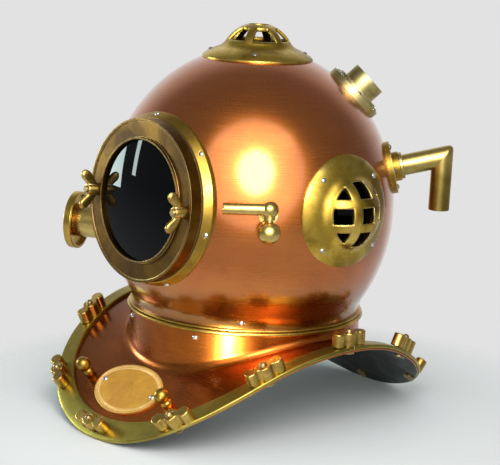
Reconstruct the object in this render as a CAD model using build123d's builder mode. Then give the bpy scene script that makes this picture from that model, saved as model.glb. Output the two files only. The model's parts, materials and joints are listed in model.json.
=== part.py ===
"""Copper and brass diving helmet: a bonnet on a saddle-shaped breastplate.

Frame: +Z up, the front door looks along -Y, the wearer's left is +X. The origin is on the floor,
under the neck's axis, where the front and back lobes of the breastplate stand. Millimetres.
"""
from build123d import *
from math import asin, atan2, cos, degrees, hypot, radians, sin, sqrt
import os

os.makedirs("parts", exist_ok=True)

# Driving dimensions

# Bonnet
bonnet_radius = 168.0
bonnet_rise = 182.5
bonnet_height = 246.5
bonnet_wall = 2.5
neck_band_radius = 134.0
neck_blend_radius = 30.0
bonnet_stations = 13

# Breastplate: a sheet bent over the shoulders, cut to an oval of four arcs
breastplate_half_width = 185.0
breastplate_half_length = 220.5
front_arc_radius = 222.0
side_arc_radius = 334.0
corner_radius = 150.0
arch_height = 111.0
shoulder_bend_radius = 233.0
shoulder_bend_angle = 26.0
lobe_bend_radius = 385.0
plate_wall = 3.0
plate_inset = 1.5
collar_radius = 136.0
collar_top = 120.0
collar_fillet = 7.0

# Brails, the four straps that clamp the suit, and their studs and wing nuts
brail_width = 19.0
brail_thickness = 4.0
brail_gap = 0.6
stud_bearings = [0, 30, 57, 90, 123, 150, 180, 210, 237, 270, 303, 330]
stud_radius = 4.0
stud_foot_radius = 7.0
stud_foot_thickness = 2.0
stud_foot_gap = 0.15
nut_height = 15.0
nut_length = 46.0
nut_hub_radius = 8.5
nut_ear_radius = 7.0
nut_waist = 9.0
nut_waist_round = 2.0
nut_edge_round = 1.5
running_clearance = 0.05
nut_seat_gap = 0.3

# Neck rings with their interrupted thread
bead_radius = 139.5
bead_height = 4.5
bead_round = 1.8
neck_sleeve_radius = 127.0
neck_sleeve_foot = 96.0
seam_radius = 137.5
seam_height = 2.5
seam_round = 1.0
seam_gap = 0.3
bonnet_sleeve_outer = 122.4
bonnet_sleeve_inner = 117.5
bonnet_sleeve_foot = 88.0
bonnet_spigot_height = 10.0
lug_height = 7.0
lug_gap = 0.5
lug_count = 4
lug_arc = 42.0
lug_side_gap = 0.5
gasket_depth = 3.0
gasket_side_gap = 0.2
groove_wall = 1.0

# Windows: the door in front and three guarded windows
window_axis_rise = 5.5
window_tilt = 3.6
frame_radius = 98.4
frame_edge = 141.5
frame_seat_radius = 91.8
frame_seat = 149.5
frame_bore = 74.0
frame_inner_radius = 86.0
frame_screw_radius = 95.0
frame_screw_angles = [40.5, 95.0, 149.5, 204.0, 248.0, 291.7, 346.0]
frame_foot = 132.0
door_radius = 91.2
door_face = 164.7
door_gasket_thickness = 1.5
door_seat_gap = 0.05
door_glass_radius = 72.5
door_glass_thickness = 8.0
door_packing_thickness = 1.2
door_sight_radius = 67.5
door_lip_height = 3.0
door_lip_width = 2.4
door_lip_thickness = 5.5
door_rim_height = 1.2
door_rim_width = 3.0
door_edge_round = 0.5
door_stud_offset = 78.5
door_stud_radius = 4.0
door_stud_tip = 182.0
door_stud_chamfer = 0.8
door_stud_hole_gap = 0.6
door_nut_hub_radius = 6.8
door_nut_hub_length = 15.0
door_nut_ear_thickness = 6.0
door_nut_ear_width = 8.0
door_nut_ear_root = 4.0
door_nut_ear_tip = 17.0
door_nut_ear_foot = 7.5
door_nut_ear_top = 20.0
door_nut_seat_gap = 0.2

guard_radius = 64.0
guard_edge_thickness = 4.0
guard_drop = 13.6
guard_base_radius = 40.0
guard_base_rise = 0.5
guard_dome_radius = 43.5
guard_dome_rise = 27.5
guard_wall = 3.6
guard_bar_width = 9.5
guard_bar_pitch = 27.0
guard_opening_radius = 36.0
guard_edge_round = 1.2
guard_spokes = 6
guard_spoke_width = 9.0
guard_eye_radius = 12.5
guard_eye_ring_radius = 20.0
seat_radius = 44.0
seat_wall = 2.6
seat_lip = 8.5
seat_lip_thickness = 3.0
seat_depth = 22.5
seat_top_drop = 7.2
pane_thickness = 7.0
pane_gasket_thickness = 1.5

# Small dome-headed screws
screw_head_radius = 3.6
screw_head_height = 2.4
screw_shank_radius = 1.9
screw_shank_length = 6.0
upper_screw_bearings = [47, 137, 227, 317]
lower_screw_bearings = [25, 155, 205, 335]
guard_screw_count = 4
inlet_screw_count = 4
comms_screw_count = 6

# Air inlet elbow at the back left
inlet_bearing = 135.0
inlet_tilt = 15.0
inlet_flange_radius = 30.5
inlet_flange_thickness = 3.5
inlet_collar_radius = 17.0
inlet_collar_height = 11.0
inlet_ring_radius = 15.5
inlet_ring_height = 4.0
elbow_radius = 12.2
elbow_bore = 9.5
elbow_reach = 61.0
elbow_drop = 62.0
hose_socket_radius = 10.4
hose_socket_depth = 25.0
spigot_depth = 8.0
flap_radius = 11.5
flap_thickness = 2.0
flap_gap = 0.2
flap_hinge_rise = 14.5
flap_barrel_radius = 2.2
flap_barrel_length = 8.0
flap_pin_radius = 1.2
flap_ear_width = 2.0
flap_ear_gap = 0.3

# Blanked communications fitting at the upper back left
comms_bearing = 141.0
comms_tilt = 45.0
comms_flange_radius = 36.0
comms_flange_thickness = 4.0
comms_step_radius = 28.5
comms_step_height = 4.0
comms_body_radius = 21.5
comms_body_height = 25.0
comms_bore = 16.0
comms_plug_thickness = 8.0
comms_plug_recess = 2.0
comms_slot_width = 4.0

# Exhaust valve at the wearer's front right
exhaust_bearing = -58.0
exhaust_drop = 43.0
exhaust_body_radius = 20.0
exhaust_body_end = 216.0
exhaust_flange_radius = 29.0
exhaust_flange_end = 168.5
exhaust_step_height = 4.0
exhaust_bore = 17.0
exhaust_port = 10.0
exhaust_spigot_radius = 14.0
exhaust_spigot_depth = 10.0
exhaust_skirt_depth = 24.0
exhaust_seat = 166.0
exhaust_disc_radius = 13.0
exhaust_disc_thickness = 3.0
exhaust_stem_radius = 3.0
wheel_radius = 34.5
wheel_thickness = 5.0
wheel_gap = 0.6
wheel_lip_depth = 4.0
wheel_lip_width = 3.0
wheel_edge_round = 1.0
wheel_sleeve_length = 16.0
wheel_dish_radius = 26.0
wheel_dish_depth = 2.0
wheel_vent_radius = 2.7
wheel_vent_circle = 12.2
wheel_vent_count = 6
wheel_eye_radius = 4.0
spring_wire_radius = 0.8
spring_radius = 7.0
spring_turns = 6
spring_gap = 0.1
exhaust_stem_length = 17.0

# Spitcock between the door and the left window
spitcock_bearing = 55.0
spitcock_tilt = 4.5
spitcock_plate_radius = 11.0
spitcock_plate_thickness = 2.5
spitcock_stem_radius = 5.5
spitcock_reach = 14.0
spitcock_ball_radius = 9.3
spitcock_boss_rise = 2.5
spitcock_ball_rise = 9.0
spitcock_barrel_foot = -2.0
spitcock_barrel_radius = 6.0
spitcock_spout_radius = 6.5
spitcock_spout_bore = 4.2
spitcock_spout_length = 50.0
spitcock_knob_radius = 12.6
spitcock_knob_drop = 16.0
spitcock_key_radius = 4.0
spitcock_key_top = 5.0
spitcock_port_radius = 1.8
spitcock_port_rise = 2.5
spitcock_cavity_radius = 3.0

# Nameplate and the two lanyard studs on the front lobe
nameplate_forward = 169.0
nameplate_half_width = 52.0
nameplate_half_height = 33.5
nameplate_thickness = 2.0
nameplate_rim = 3.0
nameplate_rim_height = 0.8
nameplate_screw_inset = 8.5
lanyard_offset = 73.0
lanyard_forward = 170.0
lanyard_ball_radius = 8.8
lanyard_collar_radius = 6.5
lanyard_neck_radius = 4.5
lanyard_shank_radius = 3.0
lanyard_collar_rise = 4.5
lanyard_ball_rise = 17.5

# How far cuts run out of a surface and into it, and how near an edge must be to its size to be chosen
overrun = 5.0
hole_depth = 20.0
same_edge = 0.5

seam_foot = collar_top + bead_height + seam_gap
band_foot = seam_foot + seam_height


# Shared geometry

def section(place):
    """The plane in which a profile is drawn as radius and distance along the place's axis."""
    return Plane(origin=place.origin, x_dir=place.x_dir, z_dir=-place.y_dir)


def spin(place):
    return Axis(place.origin, place.z_dir)


def save(part, name):
    part.label = name
    export_step(part, f"parts/{name}.step")


def neck_join(inset):
    """Height at which the bonnet's oval meets the upright neck band."""
    share = (neck_band_radius - inset) / (bonnet_radius - inset)
    return bonnet_height - (bonnet_rise - inset) * sqrt(1 - share ** 2)


def bonnet_form(inset, foot):
    """The bonnet as a full solid, drawn in from its outside by inset."""
    radius = bonnet_radius - inset
    rise = bonnet_rise - inset
    band = neck_band_radius - inset
    join = neck_join(inset)
    lowest = -asin((bonnet_height - join) / rise)
    points = []
    for i in range(bonnet_stations):
        angle = radians(90) + (lowest - radians(90)) * i / (bonnet_stations - 1)
        points.append((radius * cos(angle), bonnet_height + rise * sin(angle)))
    with BuildPart() as form:
        with BuildSketch(Plane.YZ) as profile:
            with BuildLine():
                oval = Spline(*points, tangents=[(1, 0), (radius * sin(lowest), -rise * cos(lowest))])
                Polyline(oval @ 1, (band, foot), (0, foot), (0, bonnet_height + rise))
            make_face()
            corner = profile.vertices().sort_by_distance((0, band, join))[0]
            fillet(corner, neck_blend_radius + inset)
        revolve(axis=Axis.Z)
    return form.part


def plan_outline(inset):
    """The breastplate's oval in plan, drawn in by inset."""
    fore = breastplate_half_length - front_arc_radius
    beam = breastplate_half_width - side_arc_radius
    with BuildSketch() as plan:
        with Locations((0, fore)):
            Circle(front_arc_radius - inset)
        with Locations((0, -fore)):
            Circle(front_arc_radius - inset, mode=Mode.INTERSECT)
        with Locations((beam, 0)):
            Circle(side_arc_radius - inset, mode=Mode.INTERSECT)
        with Locations((-beam, 0)):
            Circle(side_arc_radius - inset, mode=Mode.INTERSECT)
        fillet(plan.vertices(), corner_radius - inset)
    return plan.sketch


def plan_block(inset):
    """The oval as a tall block that holds the whole breastplate."""
    with BuildPart() as block:
        add(plan_outline(inset))
        extrude(amount=bonnet_height)
    return block.part


def under_arch(lift):
    """Everything under the bent sheet, its surface moved outward by lift."""
    reach = degrees(asin(breastplate_half_length / lobe_bend_radius))
    with BuildPart() as block:
        with BuildSketch(Plane.YZ):
            with BuildLine():
                ends = []
                for way in (1, -1):
                    shoulder = JernArc((0, arch_height + lift), (way, 0), shoulder_bend_radius + lift,
                                       -way * shoulder_bend_angle)
                    lobe = JernArc(shoulder @ 1, shoulder % 1, lobe_bend_radius + lift, -way * reach)
                    ends.append(lobe @ 1)
                low = -bonnet_height
                Polyline(ends[0], (ends[0].X, low), (ends[1].X, low), ends[1])
            make_face()
        extrude(amount=breastplate_half_width + overrun, both=True)
    return block.part


def arch_place(x, y, lift):
    """A plane on the bent sheet over (x, y), its axis square to the sheet."""
    run = abs(y)
    bend = (shoulder_bend_radius - lobe_bend_radius) * sin(radians(shoulder_bend_angle))
    drop = (shoulder_bend_radius - lobe_bend_radius) * cos(radians(shoulder_bend_angle))
    if run <= shoulder_bend_radius * sin(radians(shoulder_bend_angle)):
        slope = asin(run / shoulder_bend_radius)
        height = arch_height - shoulder_bend_radius * (1 - cos(slope))
    else:
        slope = asin((run - bend) / lobe_bend_radius)
        height = arch_height - shoulder_bend_radius + drop + lobe_bend_radius * cos(slope)
    side = 1 if y > 0 else -1
    normal = Vector(0, side * sin(slope), cos(slope))
    return Plane(origin=Vector(x, y, height) + normal * lift, x_dir=(1, 0, 0), z_dir=normal)


def on_brail(bearing):
    """Where a ray at this bearing from the front crosses the middle of the brail, in plan."""
    ray = Vector(sin(radians(bearing)), -cos(radians(bearing)), 0)
    inset = brail_width / 2
    fore = breastplate_half_length - front_arc_radius
    beam = breastplate_half_width - side_arc_radius
    centres = [(Vector(0, fore, 0), front_arc_radius), (Vector(0, -fore, 0), front_arc_radius),
               (Vector(beam, 0, 0), side_arc_radius), (Vector(-beam, 0, 0), side_arc_radius)]
    reach = []
    for centre, radius in centres:
        along = ray.dot(centre)
        reach.append(along + sqrt(along ** 2 + (radius - inset) ** 2 - centre.length ** 2))
    return ray * min(reach)


def stud_place(bearing):
    """A plane on the brail's top at a stud, its x axis along the brail."""
    here = on_brail(bearing)
    before = on_brail(bearing - 1)
    after = on_brail(bearing + 1)
    seat = arch_place(here.X, here.Y, brail_thickness)
    along = arch_place(after.X, after.Y, brail_thickness).origin - arch_place(
        before.X, before.Y, brail_thickness).origin
    flat = along - seat.z_dir * along.dot(seat.z_dir)
    return Plane(origin=seat.origin, x_dir=flat, z_dir=seat.z_dir)


def on_bonnet(bearing, tilt):
    """A plane on the bonnet's outside where its normal has this bearing from the front and this tilt."""
    level = cos(radians(tilt))
    upward = sin(radians(tilt))
    size = sqrt((bonnet_radius * level) ** 2 + (bonnet_rise * upward) ** 2)
    out = bonnet_radius ** 2 * level / size
    east = sin(radians(bearing))
    north = -cos(radians(bearing))
    origin = (out * east, out * north, bonnet_height + bonnet_rise ** 2 * upward / size)
    return Plane(origin=origin, x_dir=(-north, east, 0), z_dir=(level * east, level * north, upward))


def around(place, radius, height, count, start):
    """Planes on a circle about a place, their axes along its own."""
    turned = []
    for i in range(count):
        angle = radians(start + i * 360 / count)
        origin = place.from_local_coords((radius * cos(angle), radius * sin(angle), height))
        turned.append(Plane(origin=origin, x_dir=place.x_dir, z_dir=place.z_dir))
    return turned


def dome_screws(places):
    """A group of small dome-headed screws, the underside of each head at its place."""
    cap_radius = (screw_head_radius ** 2 + screw_head_height ** 2) / (2 * screw_head_height)
    cap_height = sqrt(cap_radius ** 2 - (screw_head_radius / 2) ** 2) - cap_radius + screw_head_height
    with BuildPart() as screws:
        for place in places:
            with BuildSketch(section(place)):
                with BuildLine():
                    Polyline((0, -screw_shank_length), (screw_shank_radius, -screw_shank_length),
                             (screw_shank_radius, 0), (screw_head_radius, 0))
                    crown = ThreePointArc((screw_head_radius, 0), (screw_head_radius / 2, cap_height),
                                          (0, screw_head_height))
                    Line(crown @ 1, (0, -screw_shank_length))
                make_face()
            revolve(axis=spin(place))
    return screws.part


def turned(place, points):
    """A turned piece from radius and height points about a place's axis."""
    with BuildPart() as piece:
        with BuildSketch(section(place)):
            with BuildLine():
                Polyline(*points, close=True)
            make_face()
        revolve(axis=spin(place))
    return piece.part


def ring(place, inner, outer, low, high):
    """A plain ring, or a disc when inner is zero, about a place's axis."""
    return turned(place, [(inner, low), (outer, low), (outer, high), (inner, high)])


# Places

neck = Plane.XY
tilt_out = cos(radians(window_tilt))
tilt_up = sin(radians(window_tilt))
window_origin = (0, 0, bonnet_height + window_axis_rise)
front = Plane(origin=window_origin, x_dir=(1, 0, 0), z_dir=(0, -tilt_out, tilt_up))
left = Plane(origin=window_origin, x_dir=(0, 1, 0), z_dir=(tilt_out, 0, tilt_up))
right = Plane(origin=window_origin, x_dir=(0, -1, 0), z_dir=(-tilt_out, 0, tilt_up))
top = Plane(origin=(0, 0, bonnet_height), x_dir=(1, 0, 0), z_dir=(0, 0, 1))
crown_at = {"top": bonnet_rise, "left": bonnet_radius, "right": bonnet_radius}
guarded = {"top": top, "left": left, "right": right}
inlet = on_bonnet(inlet_bearing, inlet_tilt)
comms = on_bonnet(comms_bearing, comms_tilt)
spitcock = on_bonnet(spitcock_bearing, spitcock_tilt)
exhaust_east = sin(radians(exhaust_bearing))
exhaust_north = -cos(radians(exhaust_bearing))
exhaust = Plane(origin=(0, 0, bonnet_height - exhaust_drop), x_dir=(-exhaust_north, exhaust_east, 0),
                z_dir=(exhaust_east, exhaust_north, 0))
whole_bonnet = bonnet_form(0, band_foot)

# Small screws, made first because what they hold is cut to them

guard_screw_radius = (guard_radius + guard_base_radius) / 2 + screw_shank_radius
guard_slope = (guard_drop - guard_edge_thickness + guard_base_rise) / (guard_radius - guard_base_radius)
guard_screw_height = (guard_radius - guard_screw_radius) * guard_slope - guard_drop + guard_edge_thickness
guard_screw_places = []
for side, place in guarded.items():
    guard_screw_places += around(place, guard_screw_radius, crown_at[side] + guard_screw_height,
                                 guard_screw_count, 45)
guard_screws = dome_screws(guard_screw_places)
save(guard_screws, "guard_screws")

frame_slope = (frame_seat - frame_edge) / (frame_radius - frame_seat_radius)
frame_screw_height = frame_edge + (frame_radius - frame_screw_radius) * frame_slope / 2
frame_screw_places = []
for angle in frame_screw_angles:
    frame_screw_places += around(front, frame_screw_radius, frame_screw_height, 1, angle)
frame_screws = dome_screws(frame_screw_places)
save(frame_screws, "front_frame_screws")

inlet_screws = around(inlet, (inlet_flange_radius + inlet_collar_radius) / 2, inlet_flange_thickness,
                      inlet_screw_count, 0)
comms_screws = around(comms, (comms_flange_radius + comms_step_radius) / 2, comms_flange_thickness,
                      comms_screw_count, 0)
fitting_screw_places = inlet_screws + comms_screws
fitting_screws = dome_screws(fitting_screw_places)
save(fitting_screws, "fitting_screws")


def band_screws(radius, height, bearings):
    """Places of screws set level into the neck."""
    places = []
    for bearing in bearings:
        outward = (sin(radians(bearing)), -cos(radians(bearing)), 0)
        places.append(Plane(origin=(radius * outward[0], radius * outward[1], height),
                            x_dir=(0, 0, 1), z_dir=outward))
    return places


upper_screw_places = band_screws(neck_band_radius, band_foot + 2 * screw_head_radius,
                                 upper_screw_bearings)
save(dome_screws(upper_screw_places), "bonnet_neck_screws")
lower_screw_places = band_screws(collar_radius, collar_top - 2 * screw_head_radius, lower_screw_bearings)
save(dome_screws(lower_screw_places), "collar_screws")

# Breastplate


def on_collar(edge):
    """True for an edge at the foot of the collar's outside."""
    points = [edge @ 0, edge @ 0.5, edge @ 1]
    return all(abs(hypot(p.X, p.Y) - collar_radius) < same_edge and plate_wall < p.Z < collar_top - plate_wall
               for p in points)


with BuildPart() as breastplate:
    add(under_arch(0))
    add(plan_block(plate_inset), mode=Mode.INTERSECT)
    with BuildSketch(neck):
        Circle(collar_radius)
    extrude(amount=collar_top)
    fillet(breastplate.edges().filter_by(on_collar), collar_fillet)
    add(under_arch(-plate_wall), mode=Mode.SUBTRACT)
    with BuildSketch(neck):
        Circle(collar_radius - plate_wall)
    extrude(amount=bonnet_height, mode=Mode.SUBTRACT)
    for place in lower_screw_places:
        add(ring(place, 0, screw_shank_radius, -hole_depth, overrun), mode=Mode.SUBTRACT)

# Studs of the brails, fixed in the breastplate

with BuildPart() as stud_group:
    for bearing in stud_bearings:
        seat = stud_place(bearing)
        foot = -brail_thickness - plate_wall - stud_foot_gap
        tip = nut_seat_gap + nut_height
        with BuildSketch(section(seat)):
            with BuildLine():
                Polyline((0, foot - stud_foot_thickness), (stud_foot_radius, foot - stud_foot_thickness),
                         (stud_foot_radius, foot), (stud_radius, foot), (stud_radius, tip))
                end = ThreePointArc((stud_radius, tip),
                                    (stud_radius * cos(radians(45)), tip + stud_radius * sin(radians(45))),
                                    (0, tip + stud_radius))
                Line(end @ 1, (0, foot - stud_foot_thickness))
            make_face()
        revolve(axis=spin(seat))
save(stud_group.part, "brail_studs")

# Two lanyard studs on the front lobe, each a large ball over a small one

lanyard_places = [arch_place(x, -lanyard_forward, 0) for x in (-lanyard_offset, lanyard_offset)]
with BuildPart() as lanyard_group:
    for seat in lanyard_places:
        with BuildSketch(section(seat)):
            with Locations((0, lanyard_collar_rise)):
                Circle(lanyard_collar_radius)
            with Locations((0, lanyard_ball_rise)):
                Circle(lanyard_ball_radius)
            Rectangle(2 * lanyard_neck_radius, lanyard_ball_rise, align=(Align.CENTER, Align.MIN))
            Rectangle(4 * lanyard_ball_radius, 2 * (lanyard_ball_rise + lanyard_ball_radius),
                      align=(Align.MIN, Align.MIN), mode=Mode.INTERSECT)
            Rectangle(lanyard_shank_radius, plate_wall, align=(Align.MIN, Align.MAX))
        revolve(axis=spin(seat))
save(lanyard_group.part, "lanyard_studs")

# Nameplate, bare, bent to the lobe

nameplate_place = arch_place(0, -nameplate_forward, 0)
nameplate_screw_reach = nameplate_half_width - nameplate_screw_inset
nameplate_screw_places = [arch_place(x, -nameplate_forward, nameplate_thickness)
                          for x in (-nameplate_screw_reach, nameplate_screw_reach)]
save(dome_screws(nameplate_screw_places), "nameplate_screws")

with BuildPart() as nameplate:
    with BuildSketch(nameplate_place):
        Ellipse(nameplate_half_width, nameplate_half_height)
    extrude(amount=nameplate_half_height / 2, both=True)
    add(under_arch(nameplate_thickness + nameplate_rim_height), mode=Mode.INTERSECT)
    with BuildPart(mode=Mode.PRIVATE) as panel:
        with BuildSketch(nameplate_place):
            Ellipse(nameplate_half_width - nameplate_rim, nameplate_half_height - nameplate_rim)
        extrude(amount=nameplate_half_height / 2, both=True)
        add(under_arch(nameplate_thickness), mode=Mode.SUBTRACT)
    add(panel.part, mode=Mode.SUBTRACT)
    add(under_arch(0), mode=Mode.SUBTRACT)
    for place in nameplate_screw_places:
        add(ring(place, 0, screw_shank_radius, -hole_depth, 0), mode=Mode.SUBTRACT)
save(nameplate.part, "nameplate")

# The breastplate's holes for studs and screws

plate_holes = [(stud_place(bearing), stud_radius) for bearing in stud_bearings]
plate_holes += [(place, lanyard_shank_radius) for place in lanyard_places]
plate_holes += [(place, screw_shank_radius) for place in nameplate_screw_places]
with BuildPart() as breastplate_shell:
    add(breastplate.part)
    for place, radius in plate_holes:
        add(ring(place, 0, radius, -hole_depth, overrun), mode=Mode.SUBTRACT)
save(breastplate_shell.part, "breastplate_shell")


# Brails: the strap round the edge, parted at the front, the back and the shoulders

with BuildPart() as strap:
    add(under_arch(brail_thickness))
    add(plan_block(0), mode=Mode.INTERSECT)
    add(under_arch(0), mode=Mode.SUBTRACT)
    add(plan_block(brail_width), mode=Mode.SUBTRACT)
    Box(brail_gap, 2 * bonnet_height, 2 * bonnet_height, mode=Mode.SUBTRACT)
    Box(2 * bonnet_height, brail_gap, 2 * bonnet_height, mode=Mode.SUBTRACT)
    for bearing in stud_bearings:
        add(ring(stud_place(bearing), 0, stud_radius, -hole_depth, overrun), mode=Mode.SUBTRACT)
for quarter in strap.solids():
    middle = quarter.center()
    end = "front" if middle.Y < 0 else "back"
    side = "left" if middle.X > 0 else "right"
    save(quarter, f"brail_{end}_{side}")


def wing_nut(place):
    """A cast wing nut that stands on the brail, its ears along place's x axis."""
    seat = Plane(origin=place.origin + place.z_dir * nut_seat_gap, x_dir=place.x_dir, z_dir=place.z_dir)
    ear = nut_length / 2 - nut_ear_radius
    with BuildPart() as nut:
        with BuildSketch(seat) as plan:
            Circle(nut_hub_radius)
            Rectangle(2 * ear, nut_waist)
            with Locations((-ear, 0), (ear, 0)):
                Circle(nut_ear_radius)
            fillet(plan.vertices(), nut_waist_round)
        extrude(amount=nut_height)
        upper = nut.faces().sort_by(spin(seat))[-1]
        fillet(upper.edges(), nut_edge_round)
        with BuildSketch(seat):
            Circle(stud_radius + running_clearance)
        extrude(amount=nut_height, mode=Mode.SUBTRACT)
    return nut.part


for i, bearing in enumerate(stud_bearings):
    save(wing_nut(stud_place(bearing)), f"brail_nut_{i + 1:02d}")

# Neck rings: the breastplate's ring with its bead, and the bonnet's ring that turns in it


def lugs(inner, outer, low, high):
    """Four arcs of interrupted thread."""
    with BuildPart() as group:
        for i in range(lug_count):
            turn = i * 360 / lug_count - lug_arc / 2
            side = Plane(origin=(0, 0, 0), x_dir=(cos(radians(turn)), sin(radians(turn)), 0),
                         z_dir=(sin(radians(turn)), -cos(radians(turn)), 0))
            with BuildSketch(side):
                with BuildLine():
                    Polyline((inner, low), (outer, low), (outer, high), (inner, high), close=True)
                make_face()
            revolve(axis=Axis.Z, revolution_arc=lug_arc)
    return group.part


bead_top = collar_top + bead_height
sleeve_outer = collar_radius - plate_wall
groove_inner = neck_sleeve_radius + gasket_side_gap + groove_wall
groove_outer = sleeve_outer - gasket_side_gap
with BuildPart() as neck_ring:
    add(turned(neck, [(neck_sleeve_radius, neck_sleeve_foot), (sleeve_outer, neck_sleeve_foot),
                      (sleeve_outer, collar_top), (bead_radius, collar_top), (bead_radius, bead_top),
                      (groove_outer, bead_top), (groove_outer, bead_top - gasket_depth),
                      (groove_inner, bead_top - gasket_depth), (groove_inner, bead_top),
                      (neck_sleeve_radius, bead_top)]))
    circles = neck_ring.edges().filter_by(GeomType.CIRCLE)
    fillet(circles.filter_by(lambda e: e.radius > bead_radius - same_edge), bead_round)
    add(lugs(bonnet_sleeve_outer + lug_side_gap, neck_sleeve_radius, neck_sleeve_foot,
             neck_sleeve_foot + lug_height))
    for place in lower_screw_places:
        add(ring(place, 0, screw_shank_radius, -screw_shank_length, 0), mode=Mode.SUBTRACT)
save(neck_ring.part, "neck_ring")
save(ring(neck, groove_inner + gasket_side_gap, groove_outer - gasket_side_gap, bead_top - gasket_depth,
          bead_top), "neck_gasket")

lug_low = neck_sleeve_foot - lug_gap - lug_height
band_inner = neck_band_radius - bonnet_wall
with BuildPart() as bonnet_ring:
    add(turned(neck, [(bonnet_sleeve_inner, bonnet_sleeve_foot), (bonnet_sleeve_outer, bonnet_sleeve_foot),
                      (bonnet_sleeve_outer, seam_foot), (seam_radius, seam_foot), (seam_radius, band_foot),
                      (band_inner, band_foot), (band_inner, band_foot + bonnet_spigot_height),
                      (neck_sleeve_radius, band_foot + bonnet_spigot_height), (neck_sleeve_radius, band_foot),
                      (bonnet_sleeve_inner, band_foot)]))
    circles = bonnet_ring.edges().filter_by(GeomType.CIRCLE)
    fillet(circles.filter_by(lambda e: e.radius > seam_radius - same_edge), seam_round)
    add(lugs(bonnet_sleeve_outer, neck_sleeve_radius - lug_side_gap, lug_low, lug_low + lug_height))
    for place in upper_screw_places:
        add(ring(place, 0, screw_shank_radius, -screw_shank_length, 0), mode=Mode.SUBTRACT)
save(bonnet_ring.part, "bonnet_neck_ring")

# Bonnet with its window openings and the holes of its fittings, first solid, then as a shell

openings = [(front, frame_inner_radius), (left, seat_radius), (right, seat_radius), (top, seat_radius),
            (exhaust, exhaust_spigot_radius)]
boss = Plane(origin=spitcock.from_local_coords((0, spitcock_boss_rise, 0)), x_dir=spitcock.x_dir,
             z_dir=spitcock.z_dir)
fitted = [(inlet, elbow_radius), (comms, comms_bore), (boss, spitcock_stem_radius)]
with BuildPart() as open_bonnet:
    add(whole_bonnet)
    for place, radius in openings:
        add(ring(place, 0, radius, neck_band_radius / 2, 2 * bonnet_radius), mode=Mode.SUBTRACT)
    for place, radius in fitted:
        add(ring(place, 0, radius, -hole_depth, hole_depth), mode=Mode.SUBTRACT)
seated_bonnet = open_bonnet.part

bonnet_screw_places = guard_screw_places + frame_screw_places + fitting_screw_places + upper_screw_places
with BuildPart() as bonnet_shell:
    add(seated_bonnet)
    add(bonnet_form(bonnet_wall, band_foot - overrun), mode=Mode.SUBTRACT)
    for place in bonnet_screw_places:
        add(ring(place, 0, screw_shank_radius, -hole_depth, overrun), mode=Mode.SUBTRACT)
    for place in frame_screw_places:
        add(ring(place, 0, screw_head_radius, 0, overrun), mode=Mode.SUBTRACT)
save(bonnet_shell.part, "bonnet_shell")

# Front window: frame, studs, door, glass and their packings

stud_centres = [front.from_local_coords((x, 0, 0)) for x in (-door_stud_offset, door_stud_offset)]
stud_planes = [Plane(origin=centre, x_dir=front.x_dir, z_dir=front.z_dir) for centre in stud_centres]
with BuildPart() as door_studs:
    for place in stud_planes:
        add(ring(place, 0, door_stud_radius, frame_foot + overrun, door_stud_tip))
    tips = door_studs.edges().filter_by(GeomType.CIRCLE).group_by(spin(front))[-1]
    chamfer(tips, door_stud_chamfer)
save(door_studs.part, "door_studs")

with BuildPart() as front_frame:
    add(turned(front, [(frame_bore, frame_foot), (frame_radius, frame_foot), (frame_radius, frame_edge),
                       (frame_seat_radius, frame_seat), (frame_bore, frame_seat)]))
    circles = front_frame.edges().filter_by(GeomType.CIRCLE)
    rims = circles.filter_by(lambda e: e.radius > frame_seat_radius - same_edge)
    fillet(rims.group_by(spin(front))[1:], guard_edge_round)
    add(seated_bonnet, mode=Mode.SUBTRACT)
    add(frame_screws, mode=Mode.SUBTRACT)
    add(door_studs.part, mode=Mode.SUBTRACT)
save(front_frame.solids().sort_by(SortBy.VOLUME)[-1], "front_window_frame")

gasket_outer = frame_seat_radius - door_rim_height
with BuildPart() as door_gasket:
    add(ring(front, frame_bore, gasket_outer, frame_seat, frame_seat + door_gasket_thickness))
    add(door_studs.part, mode=Mode.SUBTRACT)
save(door_gasket.part, "door_gasket")

door_back = frame_seat + door_gasket_thickness + door_seat_gap
lip_top = door_face + door_lip_height
lip_foot = lip_top - door_lip_thickness
glass_front = lip_foot - door_packing_thickness
glass_back = glass_front - door_glass_thickness
pocket = door_glass_radius
with BuildPart() as door_ring:
    add(turned(front, [(pocket, door_back), (door_radius, door_back),
                       (door_radius, door_face + door_rim_height),
                       (door_radius - door_rim_width, door_face + door_rim_height),
                       (door_radius - door_rim_width, door_face),
                       (door_sight_radius + door_lip_width, door_face),
                       (door_sight_radius + door_lip_width, lip_top), (door_sight_radius, lip_top),
                       (door_sight_radius, lip_foot), (pocket, lip_foot)]))
    circles = door_ring.edges().filter_by(GeomType.CIRCLE)
    fillet(circles.filter_by_position(spin(front), door_face + door_rim_height / 2, lip_top + overrun),
           door_edge_round)
    for place in stud_planes:
        add(ring(place, 0, door_stud_radius + door_stud_hole_gap, frame_foot, door_stud_tip),
            mode=Mode.SUBTRACT)
save(door_ring.part, "door_ring")
save(ring(front, 0, pocket, glass_back, glass_front), "door_glass")
save(ring(front, door_sight_radius, pocket, glass_front, lip_foot), "door_glass_packing")
save(ring(front, door_sight_radius, pocket, door_back, glass_back), "door_glass_retainer")


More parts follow.
